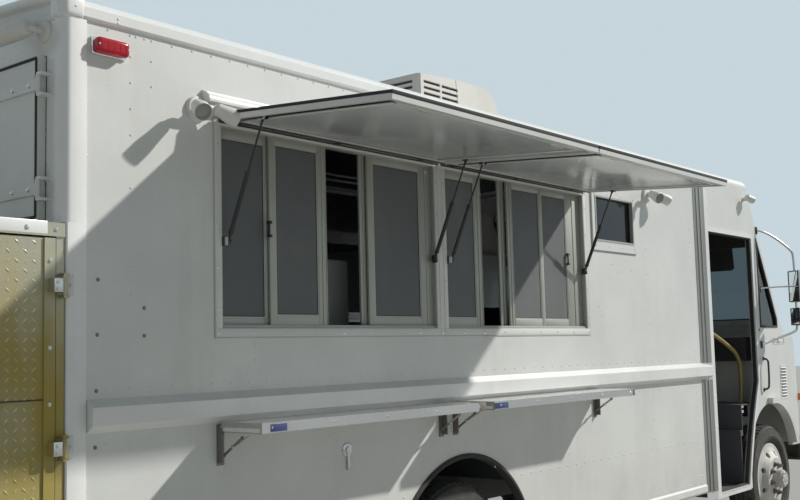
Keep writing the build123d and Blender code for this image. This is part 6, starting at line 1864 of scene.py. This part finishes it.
def makeKitchen():
    low, high = kitchen["fridge"]
    # the white fridge takes the shade grey: a painted shade for the dark inside of the body
    bm = bmesh.new()
    addBlock(bm, (low[0], low[1], low[2] + 0.06), high, 0.012, 3)
    addBlock(bm, (low[0] + 0.02, high[1] - 0.001, low[2] + 0.10),
             (high[0] - 0.02, high[1] + 0.030, high[2] - 0.02), 0.008, 3)
    for along in (low[0] + 0.06, high[0] - 0.06):
        for across in (low[1] + 0.06, high[1] - 0.06):
            addRod(bm, (along, across, low[2]), (along, across, low[2] + 0.06), 0.018, 0.014, sides=14)
    addTube(bm, [(high[0] - 0.08, high[1] + 0.028, 1.30), (high[0] - 0.08, high[1] + 0.060, 1.32),
                 (high[0] - 0.08, high[1] + 0.060, 1.58), (high[0] - 0.08, high[1] + 0.028, 1.60)], 0.009)
    finishPiece(bm, "kitchen_fridge", "shadeGreyMetal")
    # panelled lining of the driver's wall and the ceiling, with cover strips at its joints; its near-black
    # blue is a painted shade of the body's dark inside
    start, end, foot, top = kitchen["lining"]
    bm = bmesh.new()
    addBlock(bm, (start, halfWidth - 0.0425, foot), (end, halfWidth - 0.0395, top), 0.0005)
    for along in kitchen["joints"]:
        addBlock(bm, (along - 0.015, halfWidth - 0.0450, foot), (along + 0.015, halfWidth - 0.042, top),
                 0.0008)
    rows = [step * 0.2 for step in range(-5, 6)]
    for edge in kitchen["ceiling"]:
        outline = [(edge, across, roofHeight(across) - 0.036) for across in rows]
        outline += [(edge, across, roofHeight(across) - 0.039) for across in reversed(rows)]
        addSlab(bm, outline, (1.596, 0, 0))
    finishPiece(bm, "kitchen_lining", "kitchenShadeLining")
    bm = bmesh.new()
    for across, up in kitchen["pipes"]:
        addRod(bm, (0.20, across, up), (4.60, across, up), 0.010, sides=12)
        for along in kitchen["clips"]:
            addBlock(bm, (along - 0.010, across - 0.018, up - 0.004),
                     (along + 0.010, across + 0.018, up + 0.105), 0.002)
    finishPiece(bm, "kitchen_pipes", "stainless")
    bm = bmesh.new()
    for along in kitchen["lamps"]:
        addBlock(bm, (along, -0.50, 2.600), (along + 0.62, -0.38, 2.660), 0.010, 3)
    finishPiece(bm, "ceiling_lamps", "whitePlastic")


inlet = {"place": (1.352, 1.036), "screw": 0.023}
dripRail = {"start": 0.583, "long": 2.932}
slots = {"foot": 2.790, "pitch": 0.036, "high": 0.017, "count": 8, "side": (0.3655, 0.3675),
         "sideSpans": ((2.972, 3.136), (3.152, 3.320)), "rear": (2.9375, 2.9395),
         "rearSpans": ((-0.330, -0.010), (0.010, 0.330))}


# The capped inlet under the rear shelf, the drip rail over the hatches and painted shade in the cooler's
# slots
def makeWallFitting():
    bm = bmesh.new()
    along, up = inlet["place"]
    # kept within 15 mm of the wall, so the folded shelf clears it
    addSpun(bm, [(0, 0), (0.030, 0), (0.030, 0.003), (0.022, 0.006), (0.016, 0.0065), (0.0145, 0.0125),
                 (0, 0.0130)],
            (along, curb(0), up), curbFacing, 32)
    addTube(bm, [(along, curb(0.005), up - 0.008), (along, curb(0.0070), up - 0.030),
                 (along, curb(0.0072), up - 0.072)], 0.0068)
    addSpun(bm, [(0, 0), (0.0074, 0), (0.0076, 0.014), (0.006, 0.017), (0, 0.017)],
            (along, curb(0.0072), up - 0.066), downFacing, 24)
    for shift in (-inlet["screw"], inlet["screw"]):
        addBolt(bm, (along + shift, curb(0.003), up), curbFacing, 0.004, 0.0025)
    finishPiece(bm, "wall_inlet", "stainless")
    bm = bmesh.new()
    section = [(0.0, 2.389), (0.046, 2.386), (0.0475, 2.393), (0.045, 2.404), (0.038, 2.415), (0.027, 2.424),
               (0.014, 2.430), (0.003, 2.434), (0.0, 2.434)]
    addSlab(bm, [(dripRail["start"], curb(out), up) for out, up in section], (dripRail["long"], 0, 0))
    finishPiece(bm, "drip_rail", "brightPaint", smooth=50)
    # painted shade: dark blocks at the back of the cooler's slots stand in for their depth
    bm = bmesh.new()
    near, far = slots["side"]
    for step in range(slots["count"]):
        low = slots["foot"] + step * slots["pitch"] + 0.0005
        high = low + slots["high"]
        for start, end in slots["sideSpans"]:
            for side in (-1, 1):
                addBlock(bm, (start, side * near, low), (end, side * far, high), 0)
        for start, end in slots["rearSpans"]:
            addBlock(bm, (slots["rear"][0], start, low), (slots["rear"][1], end, high), 0)
    finishPiece(bm, "cooler_slot_shade", "darkPlastic")


guards = {"along": (1.520, 2.900), "up": (0.440, 0.795), "across": (0.598, 0.604),
          "hem": (0.594, 0.608, 0.452),
          "header": ((5.900, 2.560), (6.040, 2.330), (6.052, 2.175), (6.036, 2.170), (6.018, 2.320),
                     (5.870, 2.560)),
          "headerHalf": 1.10}


# Splash guards inside the rear wheels and a dark band over the windscreen, painted shade under the cab's roof
def makeGuards():
    bm = bmesh.new()
    (start, end), (foot, top), (near, far) = guards["along"], guards["up"], guards["across"]
    hemNear, hemFar, hemTop = guards["hem"]
    for side in (-1, 1):
        addBlock(bm, (start, side * near, foot), (end, side * far, top), 0.001)
        addBlock(bm, (start, side * hemNear, foot), (end, side * hemFar, hemTop), 0.002)
    finishPiece(bm, "wheel_guards", "rubber")
    # a dark sheet across the cab above the windscreen: painted shade under the cab's roof
    bm = bmesh.new()
    half = guards["headerHalf"]
    addSlab(bm, [(along, -half, up) for along, up in guards["header"]], (0, 2 * half, 0))
    finishPiece(bm, "header_shade_band", "darkPlastic")


makeKitchen()
makeWallFitting()
makeGuards()
print("kitchen and fittings ready")

# Number of pieces made
print("pieces", len(pieces))
